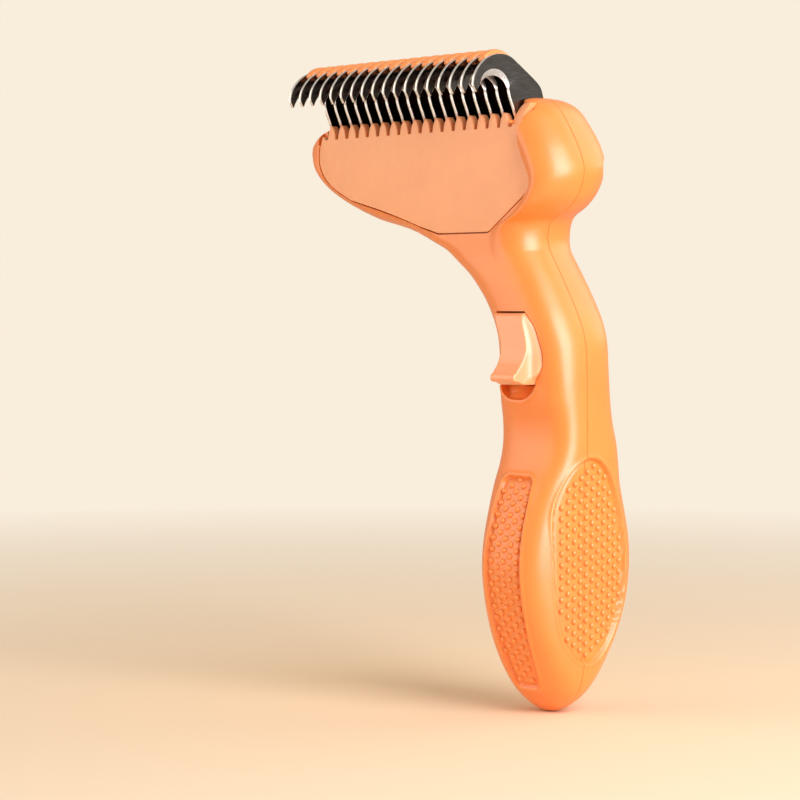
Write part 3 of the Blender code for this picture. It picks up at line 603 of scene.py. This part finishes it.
def laid_back(mesh):
    """Bends the plate's tall right tooth back over the shoulder of the bulb."""
    for vertex in mesh.vertices:
        if vertex.co.x > -4.6 and vertex.co.z > 145.0:
            t = min((vertex.co.z - 145.0) / 8.0, 1.2)
            back = 1.6 * t * t
            vertex.co.y += back
            vertex.co.x -= 1.05 * back
    return mesh


def leaning(z):
    """How far the upper part of the trigger leans to the left, along the handle."""
    return -3.2 * (max(z - LEAN_FROM, 0.0) / 9.3) ** 1.5


def lean_over(mesh):
    """Shifts an upright trigger button to follow the leaning window, level by level."""
    shape = bmesh.new()
    shape.from_mesh(mesh)
    bmesh.ops.triangulate(shape, faces=shape.faces)
    for z in np.arange(LEAN_FROM, 100.0, 0.8):
        everything = [*shape.verts, *shape.edges, *shape.faces]
        bmesh.ops.bisect_plane(shape, geom=everything, plane_co=(0, 0, z), plane_no=(0, 0, 1))
    for vertex in shape.verts:
        vertex.co.x += leaning(vertex.co.z)
    shape.to_mesh(mesh)
    shape.free()


def window_outline():
    """Opening for the trigger, (x, z): bowed sides that lean, and a flat foot."""
    return [(x + leaning(z), z) for x, z in mirrored(through(WINDOW_SIDE, 6))]


def scoop_outline():
    """Hollow below the trigger, (x, z), running on from the window's sides."""
    keys = ((4.6, 83.4), (4.4, 82.2), (3.5, 80.7), (2.2, 79.6), (0.8, 78.9), (-0.8, 78.5))
    right = through(keys, 6)
    return right + [(2 * SCOOP_X - x, z) for x, z in right[::-1]]


def scoop():
    """Cutter for the hollow below the trigger, with its floor sloping in and up."""
    front = slab("front", scoop_outline(), "Y", -30.0, -5.4)
    slope = through(((-11.8, 77.6), (-9.8, 78.4), (-7.8, 79.6), (-6.6, 81.0), (-6.0, 83.4)), 6)
    side = slab("side", [*slope, (-29.0, 83.4), (-29.0, 77.6)], "X", -11.0, 9.0)
    return combined("scoop", [front, side], "INTERSECT")


def shared_cuts():
    """What is cut from both shells: the hollow, and the rooms of the parts inside."""
    left, right = BLADE_X - PITCH * (BLADES - 1) - 2.0, BLADE_X + 1.3
    room = PIN_R + 0.3
    cradle = arc(PIVOT, room, -90, 90, 12) + [(-5.0, PIVOT[1] + room), (-5.0, PIVOT[1] - room)]
    return [
        cavity(),
        box("blade_slot", (left, -8.2, 144.6), (right, 10.2, 170.0)),
        box("top_cut", (left, -20.0, 148.0), (right, 20.0, 170.0)),
        box("carrier_seat", (left, -6.6, 134.0), (right, 3.6, 150.0)),
        round_bar("bar_room", PIVOT, BAR_R + 0.6, "X", left, right),
        slab("pin_cradle", cradle, "X", -82.0, 5.0),
        box("stem_hole", (-8.9, -1.8, 104.0), (-4.7, 1.8, 109.0)),
        box("yoke_room", (-2.6, -6.4, 130.0), (0.7, 2.0, 149.2)),
    ]


def shell(side):
    """One shell with everything cut from it."""
    grid = shell_grid(side)
    start, end = (0.0, side * SEAM_HALF, 0.0), (HEAD_END[0], side * SEAM_HALF, HEAD_END[1])
    name = "front" if side < 0 else "back"
    skin = loft(name, grid, start, end)
    cuts = shared_cuts()
    if side < 0:
        cuts.append(laid_back(pocket()))
        cuts.append(box("plate_top", (-79.0, -30.0, 145.2), (-4.7, POCKET_BACK, 170.0)))
        cuts.append(slab("window", window_outline(), "Y", -30.0, -5.0))
        cuts.append(scoop())
        cuts += [round_bar("pilot", at, PILOT_R, "Y", -6.4, 1.0) for at in SCREWS]
    else:
        cuts += [round_bar("hole", at, HOLE_R, "Y", -1.0, 40.0) for at in SCREWS]
        cuts += [round_bar("sink", at, SINK_R, "Y", 5.0, 40.0, 48) for at in SCREWS]
    return skin, smooth(combined(f"{name}_shell", [skin, *cuts], "DIFFERENCE"))


def pocket():
    """Cutter for the face plate, a little larger than it all round."""
    return slab("pocket", plate_outline(0.34), "Y", -30.0, POCKET_BACK)


# ---------------------------------------------------------------- the pieces


def add_shells():
    """The two shells. Their uncut skins are returned, for the bumps to stand on."""
    looks = [orange_plastic("shell_plastic", (0.97, 0.258, 0.038), grain=1.0)]
    skins = []
    for side, name in ((-1, "front"), (1, "back")):
        skin, mesh = shell(side)
        points, faces = [v.co[:] for v in skin.vertices], [p.vertices[:] for p in skin.polygons]
        skins.append(BVHTree.FromPolygons(points, faces))
        add_piece(f"{name}_shell", mesh, looks, "handle", [f"shell_{name}"])
    return skins


def dome(at, normal):
    """One bump of the grip, standing square on the surface."""
    shape = bmesh.new()
    bmesh.ops.create_uvsphere(shape, u_segments=14, v_segments=10, radius=1.0)
    low = [v for v in shape.verts if v.co.z < -0.35]
    bmesh.ops.delete(shape, geom=low, context="VERTS")
    turn = normal.to_track_quat("Z", "Y").to_matrix().to_4x4()
    size = Matrix.Diagonal((BUMP_R, BUMP_R, BUMP_HIGH, 1.0))
    bmesh.ops.transform(shape, matrix=Matrix.Translation(at) @ turn @ size, verts=shape.verts)
    return finished("dome", shape)


def lattice(outline, margin, middle):
    """Staggered places about a middle, at least the margin inside an outline."""
    reach = np.arange(-20, 21)
    places = [
        (middle[0] + i * BUMP_PITCH[0], middle[1] + (j + 0.5 * (i % 2)) * BUMP_PITCH[1])
        for i in reach
        for j in reach
    ]
    places = np.array(places)
    return places[signed_distance(places, outline) > margin]


def add_bumps(skins):
    """Round bumps all over the three grip pads."""
    domes = []
    for x, z in lattice(front_pad_outline(), 1.0, (0.0, 33.0)):
        hit = skins[0].ray_cast(Vector((x, -60.0, z)), Vector((0, 1, 0)))
        domes.append(dome(hit[0], -hit[1] if hit[1].y > 0 else hit[1]))
    for y, z in lattice(side_pad_outline(), 1.35, (0.5 * BUMP_PITCH[0], 38.0)):
        for out in (-1, 1):
            start, way = Vector((60.0 * out, y, z)), Vector((-out, 0, 0))
            hits = [skin.ray_cast(start, way) for skin in skins]
            hits = [hit for hit in hits if hit[0] is not None and abs(hit[1].x) > 0.2]
            if hits:
                hit = max(hits, key=lambda found: found[0].x * out)
                domes.append(dome(hit[0], hit[1] if hit[1].x * out > 0 else -hit[1]))
    mesh = gathered("grip_bumps", domes)
    mesh.shade_smooth()
    looks = [orange_plastic("bump_plastic", (0.97, 0.268, 0.042), grain=0.5)]
    add_piece("grip_bumps", mesh, looks, "handle")


def notch_teeth():
    """Top edge of the plate from right to left: a narrow cut at each blade between teeth."""
    edge = []
    tooth = through(((0.62, 0.0), (0.78, 1.0), (1.2, 2.1), (1.72, 2.9), (2.07, 3.1)), 3)
    for k in range(BLADES):
        x = BLADE_X - PITCH * k
        if k:
            edge += [(x + a, NOTCH_Z + b) for a, b in tooth[::-1]]
        edge += [(x + 0.55, NOTCH_Z - 0.5), (x - 0.55, NOTCH_Z - 0.5)]
        if k < BLADES - 1:
            edge += [(x - a, NOTCH_Z + b) for a, b in tooth[:-1]]
    return edge


def add_face_plate():
    """Flat plate with a tooth between each two blades and a tall one at its right end."""
    outline = [p for p in plate_outline() if p[1] < 152.5][:-2]
    outline += through(((1.2, 152.4), (-0.9, 151.6), (-2.9, 149.6), (-4.4, 147.2)), 5)
    outline += notch_teeth() + [(-76.7, NOTCH_Z + 0.2)]
    mesh = slab("face_plate", outline, "Y", PLATE_FRONT, PLATE_BACK, edge=0.16)
    looks = [peach_plastic("plate_plastic", (0.98, 0.385, 0.155), 0.46)]
    add_piece("plate", smooth(laid_back(mesh)), looks, "handle", ["face_plate"])


def blade_edges():
    """Outline of a blade, (y, z), how far its grinding reaches in, and its edge's half
    thickness there: a hollow-ground throat, and a fine chamfer everywhere else."""
    over = through(
        (
            (-22.0, 154.5),
            (-22.8, 156.4),
            (-22.0, 159.3),
            (-19.6, 162.1),
            (-16.6, 163.8),
            (-13.4, 164.4),
            (-10.2, 164.0),
            (-7.0, 162.2),
        ),
        6,
    )
    back = through(((-7.0, 162.2), (-1.0, 158.3), (0.9, 156.4), (1.7, 154.0)), 5)
    root = [(1.8, 135.8), (-6.0, 135.8), (-6.0, 145.4), (-7.4, 146.4)]
    front = through(((-7.6, 147.8), (-9.0, 151.2), (-10.2, 153.8), (-10.8, 155.8)), 5)
    throat = through(
        (
            (-10.8, 155.8),
            (-11.9, 157.4),
            (-13.9, 158.6),
            (-16.2, 158.8),
            (-18.3, 158.2),
            (-19.9, 157.0),
            (-21.0, 155.4),
        ),
        6,
    )
    outline = over + back[1:] + root + front[:-1] + throat + [(-21.5, 154.5)]
    grind = [0.14] * len(outline)
    first = len(outline) - len(throat) - 1
    for k in range(len(throat)):
        t = k / (len(throat) - 1)
        grind[first + k] = 0.3 + 1.35 * math.sin(math.pi * min(t * 1.15, 1.0)) ** 0.8
    for k in range(len(front) - 1):
        grind[first - 1 - k] = 0.24
    thin = [0.07 if width > 0.28 else 0.24 for width in grind]
    return outline, np.array(grind), thin


def blade_mesh(name):
    """One hooked blade about X = 0, with its flat faces first and its ground edges second."""
    outline, grind, thin = blade_edges()
    points = np.asarray(outline)
    if not np.array_equal(anticlockwise(points), points):
        points, grind, thin = points[::-1], grind[::-1], thin[::-1]
    inner = offset(points, grind)
    shape = bmesh.new()
    rings = [
        [shape.verts.new((-BLADE_HALF, a, b)) for a, b in inner],
        [shape.verts.new((-t, a, b)) for (a, b), t in zip(points, thin)],
        [shape.verts.new((t, a, b)) for (a, b), t in zip(points, thin)],
        [shape.verts.new((BLADE_HALF, a, b)) for a, b in inner],
    ]
    middles = 0.5 * (points + np.roll(points, -1, axis=0))
    for k, face in enumerate(bridged(shape, rings)):
        y, z = middles[k % len(points)]
        face.material_index = 1 if y < -7.2 and z > 146.0 else 0
    flats = [shape.faces.new(rings[0][::-1]), shape.faces.new(rings[-1])]
    bmesh.ops.recalc_face_normals(shape, faces=shape.faces)
    bmesh.ops.triangulate(shape, faces=flats)
    return finished(name, shape)


def add_blades():
    """The row of blades, numbered from the left."""
    looks = [blade_black(), ground_steel()]
    for k in range(BLADES):
        mesh = blade_mesh(f"hook_{k + 1:02d}")
        mesh.transform(Matrix.Translation((BLADE_X - PITCH * (BLADES - 1 - k), 0.0, 0.0)))
        smooth(mesh, 25.0)
        add_piece(f"hook_{k + 1:02d}", mesh, looks, "handle", [f"blade_{k + 1:02d}"])


def finger_outline():
    """One finger of the comb, (y, z), from its nose back to the bar."""
    top = through(
        (
            (-18.2, 162.6),
            (-17.6, 163.9),
            (-15.4, 165.2),
            (-12.6, 165.6),
            (-9.6, 164.8),
            (-4.0, 161.2),
            (1.2, 157.4),
            (4.6, 152.8),
        ),
        4,
    )
    root = [(8.9, 147.0), (8.9, 144.0), (4.1, 144.0)]
    under = through(((3.6, 146.6), (-1.0, 152.6), (-6.4, 158.4), (-10.6, 161.6)), 4)
    nose = [(-14.0, 162.0), (-17.2, 161.7)]
    return top + root + under + nose


def crank_pin():
    """Middle of the crank pin at rest, (y, z)."""
    reach = CRANK_R * math.cos(SWING / 2)
    return (PIVOT[0] - reach, PIVOT[1] + CRANK_R * math.sin(SWING / 2))


def add_comb():
    """Ejector comb: rounded fingers on a bar with end pins, and the crank at its right."""
    left, right = BLADE_X - PITCH * (BLADES - 1) - 1.6, BLADE_X + 0.9
    pin = np.array(crank_pin())
    out = pin - PIVOT
    across = np.array((out[1], -out[0])) / CRANK_R
    corners = [PIVOT + 2.4 * across, pin + 2.0 * across, pin - 2.0 * across, PIVOT - 2.4 * across]
    meshes = [
        round_bar("bar", PIVOT, BAR_R, "X", left, right + 0.2, edge=0.3),
        round_bar("pins", PIVOT, PIN_R, "X", -81.6, 4.2, edge=0.2),
        slab("crank_arm", corners, "X", right, right + 1.9),
        round_bar("crank_eye", pin, 2.2, "X", right, right + 1.9),
        round_bar("crank_pin", pin, PIN_R, "X", right + 1.0, 0.4),
    ]
    for k in range(BLADES - 1):
        x = BLADE_X - PITCH * (k + 0.5)
        low, high = x - FINGER_WIDE / 2, x + FINGER_WIDE / 2
        meshes.append(slab("finger", finger_outline(), "X", low, high, edge=0.85, steps=5))
    mesh = smooth(gathered("ejector", meshes), 40.0)
    looks = [orange_plastic("comb_plastic", (0.97, 0.29, 0.06), grain=0.4)]
    add_piece("ejector", mesh, looks, "comb", ["ejector_comb"])


def trigger_outline():
    """Trigger seen from the side, (y, z): hollowed face with a lip at its foot."""
    upper = ((-11.6, 99.95), (-12.3, 99.5), (-12.9, 97.4), (-13.2, 93.4), (-13.6, 90.6))
    face = through((*upper, (-14.8, 87.8), (-16.4, 85.6)), 5)
    lip = arc((-16.5, 84.2), 1.1, 100, 300, 10)
    top = [(FLANGE_BACK, TRIGGER_TOP), (-11.0, TRIGGER_TOP)]
    return top + face + lip + [(-14.2, TRIGGER_FOOT), (FLANGE_BACK, TRIGGER_FOOT)]


def trigger_front():
    """Upright trigger from the front, (x, z): the window less a gap all round."""
    half = [(x - TRIGGER_GAP, z) for x, z in through(WINDOW_SIDE, 6)]
    return mirrored([(half[0][0], TRIGGER_TOP + 1.0), *half, (half[-1][0], TRIGGER_FOOT - 1.0)])


def trigger_plan():
    """Trigger seen from above, (x, y): its sides flare from the face to the window."""
    side = through(((4.2, -18.5), (4.3, -15.5), (4.5, -13.6), (4.9, -12.2), (5.9, -10.9)), 5)
    return mirrored([*side, (6.9, -9.6), (7.3, -8.6), (7.3, FLANGE_BACK)])


def softened(mesh, voxel, rounds):
    """The mesh with all its edges eased, by a fine remesh and a little smoothing."""
    obj = linked("soft", mesh)
    remesh = obj.modifiers.new("remesh", "REMESH")
    remesh.mode = "VOXEL"
    remesh.voxel_size = voxel
    ease = obj.modifiers.new("ease", "SMOOTH")
    ease.factor = 0.5
    ease.iterations = rounds
    made = evaluated(obj, mesh.name)
    bpy.data.objects.remove(obj)
    made.shade_smooth()
    return made


def add_trigger():
    """Trigger: the button in the window, a flange behind it and a slotted tongue."""
    views = [
        slab("button_side", trigger_outline(), "X", -8.0, 8.0),
        slab("button_front", trigger_front(), "Y", -30.0, 0.0),
        slab("button_plan", trigger_plan(), "Z", 70.0, 110.0),
    ]
    button = combined("button", views, "INTERSECT")
    lean_over(button)
    foot, top = TRIGGER_FOOT, TRIGGER_TOP + 0.9
    right = ((7.5, foot), (7.5, 89.5), (5.4, 96.0), (3.0, top))
    plate = (*right, (-8.4, top), (-8.4, 93.0), (-7.5, 90.0), (-7.5, foot))
    flange = slab("flange", plate, "Y", FLANGE_BACK - 0.8, FLANGE_BACK)
    tongue = box("tongue", (2.1, FLANGE_BACK - 0.5, DRIVE_Z - 6.4), (4.1, 3.0, DRIVE_Z + 3.0))
    slope = DRIVE_R + 0.15
    slot = arc((0.0, DRIVE_Z), slope, -45, 135, 12)
    slot += arc((-TRAVEL, DRIVE_Z - TRAVEL), slope, 135, 315, 12)
    whole = combined("whole", [button, flange, tongue], "UNION")
    cut = combined("button", [whole, slab("slot", slot, "X", 1.8, 5.0)], "DIFFERENCE")
    mesh = softened(cut, 0.17, 22)
    looks = [peach_plastic("trigger_plastic", (0.98, 0.375, 0.17), 0.33)]
    add_piece("button", mesh, looks, "trigger", ["trigger"])


def add_spring():
    """Return spring in the handle, as one fixed coil; in the tool the drive rod presses it together
    as it comes down.
    """
    data = bpy.data.curves.new("spring", "CURVE")
    data.dimensions = "3D"
    data.bevel_depth = SPRING_WIRE
    data.bevel_resolution = 4
    data.use_fill_caps = True
    low, high = SPRING_FOOT + SPRING_WIRE + 0.05, SPRING_TOP + 0.25 - SPRING_WIRE
    count = 32 * SPRING_TURNS
    spline = data.splines.new("POLY")
    spline.points.add(count)
    for k in range(count + 1):
        turn = 2 * math.pi * SPRING_TURNS * k / count
        ends = 0.5 - 0.5 * math.cos(math.pi * k / count)
        z = low + (high - low) * (0.8 * k / count + 0.2 * ends)
        spline.points[k].co = (SPRING_R * math.cos(turn), SPRING_R * math.sin(turn), z, 1.0)
    curve = linked("spring", data)
    mesh = evaluated(curve, "coil")
    bpy.data.objects.remove(curve)
    mesh.shade_smooth()
    mesh.transform(TO_ROW)
    mesh.materials.append(plain_steel("spring_steel"))
    coil = linked("coil", mesh)
    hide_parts("return_spring")
    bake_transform(coil)


# ---------------------------------------------------------------- materials


def shader(name):
    """A new material, its node tree and its surface shader."""
    made = bpy.data.materials.new(name)
    made.use_nodes = True
    return made, made.node_tree, made.node_tree.nodes["Principled BSDF"]


def noise(tree, scale, detail=3.0, roughness=0.5, stretch=(1.0, 1.0, 1.0)):
    """Noise in the object's own space, with its scale in waves per metre."""
    place = tree.nodes.new("ShaderNodeTexCoord")
    spread = tree.nodes.new("ShaderNodeMapping")
    spread.inputs["Scale"].default_value = stretch
    tree.links.new(place.outputs["Object"], spread.inputs["Vector"])
    made = tree.nodes.new("ShaderNodeTexNoise")
    made.inputs["Scale"].default_value = scale
    made.inputs["Detail"].default_value = detail
    made.inputs["Roughness"].default_value = roughness
    tree.links.new(spread.outputs["Vector"], made.inputs["Vector"])
    return made.outputs["Fac"]


def ramp(tree, source, stops):
    """Colours by the value of a source, from places and colours in order."""
    made = tree.nodes.new("ShaderNodeValToRGB")
    elements = made.color_ramp.elements
    elements[0].position, elements[0].color = stops[0][0], (*stops[0][1], 1.0)
    elements[1].position, elements[1].color = stops[-1][0], (*stops[-1][1], 1.0)
    for position, colour in stops[1:-1]:
        elements.new(position).color = (*colour, 1.0)
    tree.links.new(source, made.inputs["Fac"])
    return made.outputs["Color"]


def grey(value):
    return (value, value, value)


def shade(colour, factor):
    """The colour made darker or lighter."""
    return tuple(min(c * factor, 1.0) for c in colour)


def varied(tree, surface, socket, source, low, high):
    """Lets a noise move one input of the surface between two colours."""
    stops = ((0.3, low), (0.7, high))
    tree.links.new(ramp(tree, source, stops), surface.inputs[socket])


def bumped(tree, surface, source, strength, distance):
    """Fine relief from a source, too small to model."""
    bump = tree.nodes.new("ShaderNodeBump")
    bump.inputs["Strength"].default_value = strength
    bump.inputs["Distance"].default_value = distance
    tree.links.new(source, bump.inputs["Height"])
    tree.links.new(bump.outputs["Normal"], surface.inputs["Normal"])


def plastic(name, colour, rough, grain, scatter):
    """Moulded plastic: cloudy colour, uneven satin finish and a fine spark-eroded grain."""
    made, tree, surface = shader(name)
    cloud = noise(tree, 55.0, 4.0)
    stops = ((0.3, shade(colour, 0.94)), (0.5, colour), (0.75, shade(colour, 1.05)))
    tree.links.new(ramp(tree, cloud, stops), surface.inputs["Base Color"])
    handled = noise(tree, 420.0, 5.0, 0.6)
    varied(tree, surface, "Roughness", handled, grey(rough - 0.05), grey(rough + 0.06))
    bumped(tree, surface, noise(tree, 5200.0, 2.0), 0.10 * grain, 0.00012)
    surface.inputs["Subsurface Weight"].default_value = scatter
    surface.inputs["Subsurface Radius"].default_value = (1.0, 0.35, 0.12)
    surface.inputs["Subsurface Scale"].default_value = 0.0016
    surface.inputs["IOR"].default_value = 1.6
    surface.inputs["Coat Weight"].default_value = 0.6
    surface.inputs["Coat Roughness"].default_value = 0.32
    surface.inputs["Coat IOR"].default_value = 1.6
    return made


def orange_plastic(name, colour, grain):
    """Plastic of the shells, the bumps and the comb."""
    return plastic(name, colour, 0.4, grain, 0.22)


def peach_plastic(name, colour, rough):
    """Paler plastic of the face plate and the trigger."""
    return plastic(name, colour, rough, 1.0, 0.18)


def blade_black():
    """Polished steel with a dark oxide skin, faintly streaked along the strip."""
    made, tree, surface = shader("blade_oxide")
    streak = noise(tree, 900.0, 4.0, 0.55, (1.0, 0.35, 2.5))
    varied(tree, surface, "Base Color", streak, (0.15, 0.146, 0.148), (0.20, 0.195, 0.195))
    varied(tree, surface, "Roughness", streak, grey(0.17), grey(0.26))
    bumped(tree, surface, noise(tree, 2600.0, 3.0), 0.05, 0.00006)
    surface.inputs["Metallic"].default_value = 1.0
    return made


def ground_steel():
    """Bare ground edge of a blade, with grinding lines across it."""
    made, tree, surface = shader("ground_edge")
    lines = noise(tree, 3000.0, 3.0, 0.6, (0.3, 1.0, 1.0))
    varied(tree, surface, "Base Color", lines, (0.86, 0.83, 0.82), (0.97, 0.94, 0.93))
    varied(tree, surface, "Roughness", lines, grey(0.24), grey(0.4))
    bumped(tree, surface, lines, 0.15, 0.00004)
    surface.inputs["Metallic"].default_value = 1.0
    return made


def plain_steel(name):
    """Zinc-plated steel of the screws, the spring and the rod."""
    made, tree, surface = shader(name)
    spots = noise(tree, 1400.0, 4.0)
    varied(tree, surface, "Base Color", spots, (0.50, 0.50, 0.52), (0.66, 0.66, 0.67))
    varied(tree, surface, "Roughness", spots, grey(0.26), grey(0.40))
    bumped(tree, surface, spots, 0.08, 0.00004)
    surface.inputs["Metallic"].default_value = 1.0
    return made


def black_plastic():
    """Dark moulded plastic of the carrier and the drive rod."""
    return plastic("hidden_plastic", (0.035, 0.033, 0.033), 0.55, 1.0, 0.0)


def dress_frame_nodes():
    """Materials for the CAD pieces that are shown as they are."""
    steel, black = plain_steel("plated_steel"), black_plastic()
    looks = {"blade_rod": steel, "blade_carrier": black, "drive_rod": black}
    looks |= {f"shell_screw_{k + 1}": steel for k in range(len(SCREWS))}
    for node, look in looks.items():
        data = frame["nodes"][node].data
        data.materials.clear()
        data.materials.append(look)


# ---------------------------------------------------------------- stage


def add_floor():
    """Pale floor that has faded into the surroundings 0.63 m from the middle."""
    shape = bmesh.new()
    bmesh.ops.create_circle(shape, cap_ends=True, radius=1.6, segments=96)
    floor = linked("floor", finished("floor", shape))
    made, tree, surface = shader("floor_paper")
    surface.inputs["Base Color"].default_value = (*CREAM, 1.0)
    surface.inputs["Roughness"].default_value = 0.85
    bumped(tree, surface, noise(tree, 700.0, 3.0), 0.05, 0.0002)
    place = tree.nodes.new("ShaderNodeTexCoord")
    fade = tree.nodes.new("ShaderNodeTexGradient")
    fade.gradient_type = "SPHERICAL"
    size = tree.nodes.new("ShaderNodeMapping")
    size.inputs["Scale"].default_value = (1.35, 1.35, 1.35)
    tree.links.new(place.outputs["Object"], size.inputs["Vector"])
    tree.links.new(size.outputs["Vector"], fade.inputs["Vector"])
    soft = ramp(tree, fade.outputs["Fac"], ((0.15, grey(0.0)), (0.95, grey(1.0))))
    tree.links.new(soft, surface.inputs["Alpha"])
    floor.data.materials.append(made)


def aimed(position, target):
    """Place and turn of a lamp that points at a target."""
    turn = (Vector(target) - Vector(position)).to_track_quat("-Z", "Y")
    return Matrix.Translation(position) @ turn.to_matrix().to_4x4()


def add_light(name, azimuth, elevation, distance, size, power, colour):
    """Soft box aimed at the middle of the tool."""
    low, high = (Vector(corner) for corner in CAD_BOX)
    target = 0.5 * (low + high)
    a, e = math.radians(azimuth), math.radians(elevation)
    away = Vector((math.sin(a) * math.cos(e), -math.cos(a) * math.cos(e), math.sin(e)))
    lamp = bpy.data.lights.new(name, "AREA")
    lamp.shape = "RECTANGLE"
    lamp.size, lamp.size_y = size
    lamp.energy = power
    lamp.color = colour
    linked(name, lamp).matrix_world = aimed(target + distance * away, target)


def add_lights():
    """A strong key from the right, a warm fill from the left and a weak rim from behind."""
    add_light("key", 88, 22, 0.55, (0.36, 0.6), 4.3, (1.0, 0.98, 1.0))
    add_light("left", -34, 14, 0.8, (0.8, 0.8), 3.0, (1.0, 0.9, 0.74))
    add_light("rim", 165, 30, 0.7, (0.5, 0.5), 0.9, (1.0, 0.93, 0.88))


def add_world():
    """Cream room: bright where it is looked at, and dimmer as a light."""
    world = bpy.data.worlds.new("room")
    world.use_nodes = True
    tree = world.node_tree
    room = tree.nodes["Background"]
    room.inputs["Color"].default_value = (0.95, 0.85, 0.71, 1.0)
    seen = tree.nodes.new("ShaderNodeLightPath")
    level = tree.nodes.new("ShaderNodeMapRange")
    level.inputs["To Min"].default_value = 0.5
    level.inputs["To Max"].default_value = 1.0
    tree.links.new(seen.outputs["Is Camera Ray"], level.inputs["Value"])
    tree.links.new(level.outputs["Result"], room.inputs["Strength"])
    bpy.context.scene.world = world
    bpy.context.scene.view_settings.view_transform = "Standard"


def add_camera():
    """Three-quarter view from the right of the hooks, nearly level."""
    azimuth, elevation, roll = math.radians(48.0), math.radians(2.1), math.radians(0.13)
    distance = 682.5
    target = FOOT + MM * Vector((-59.76, 2.68, 76.56))
    back = Vector(
        (
            math.sin(azimuth) * math.cos(elevation),
            -math.cos(azimuth) * math.cos(elevation),
            math.sin(elevation),
        )
    )
    lens = bpy.data.cameras.new("camera")
    lens.lens = 114.075
    lens.sensor_width = 36.0
    lens.clip_start = 0.05
    obj = linked("camera", lens)
    turn = back.to_track_quat("Z", "Y").to_matrix().to_4x4()
    place = Matrix.Translation(target + distance * MM * back)
    obj.matrix_world = place @ turn @ Matrix.Rotation(roll, 4, "Z")
    bpy.context.scene.camera = obj


add_camera()
add_world()
add_lights()
add_floor()
add_bumps(add_shells())
add_face_plate()
add_blades()
add_comb()
add_trigger()
add_spring()
dress_frame_nodes()
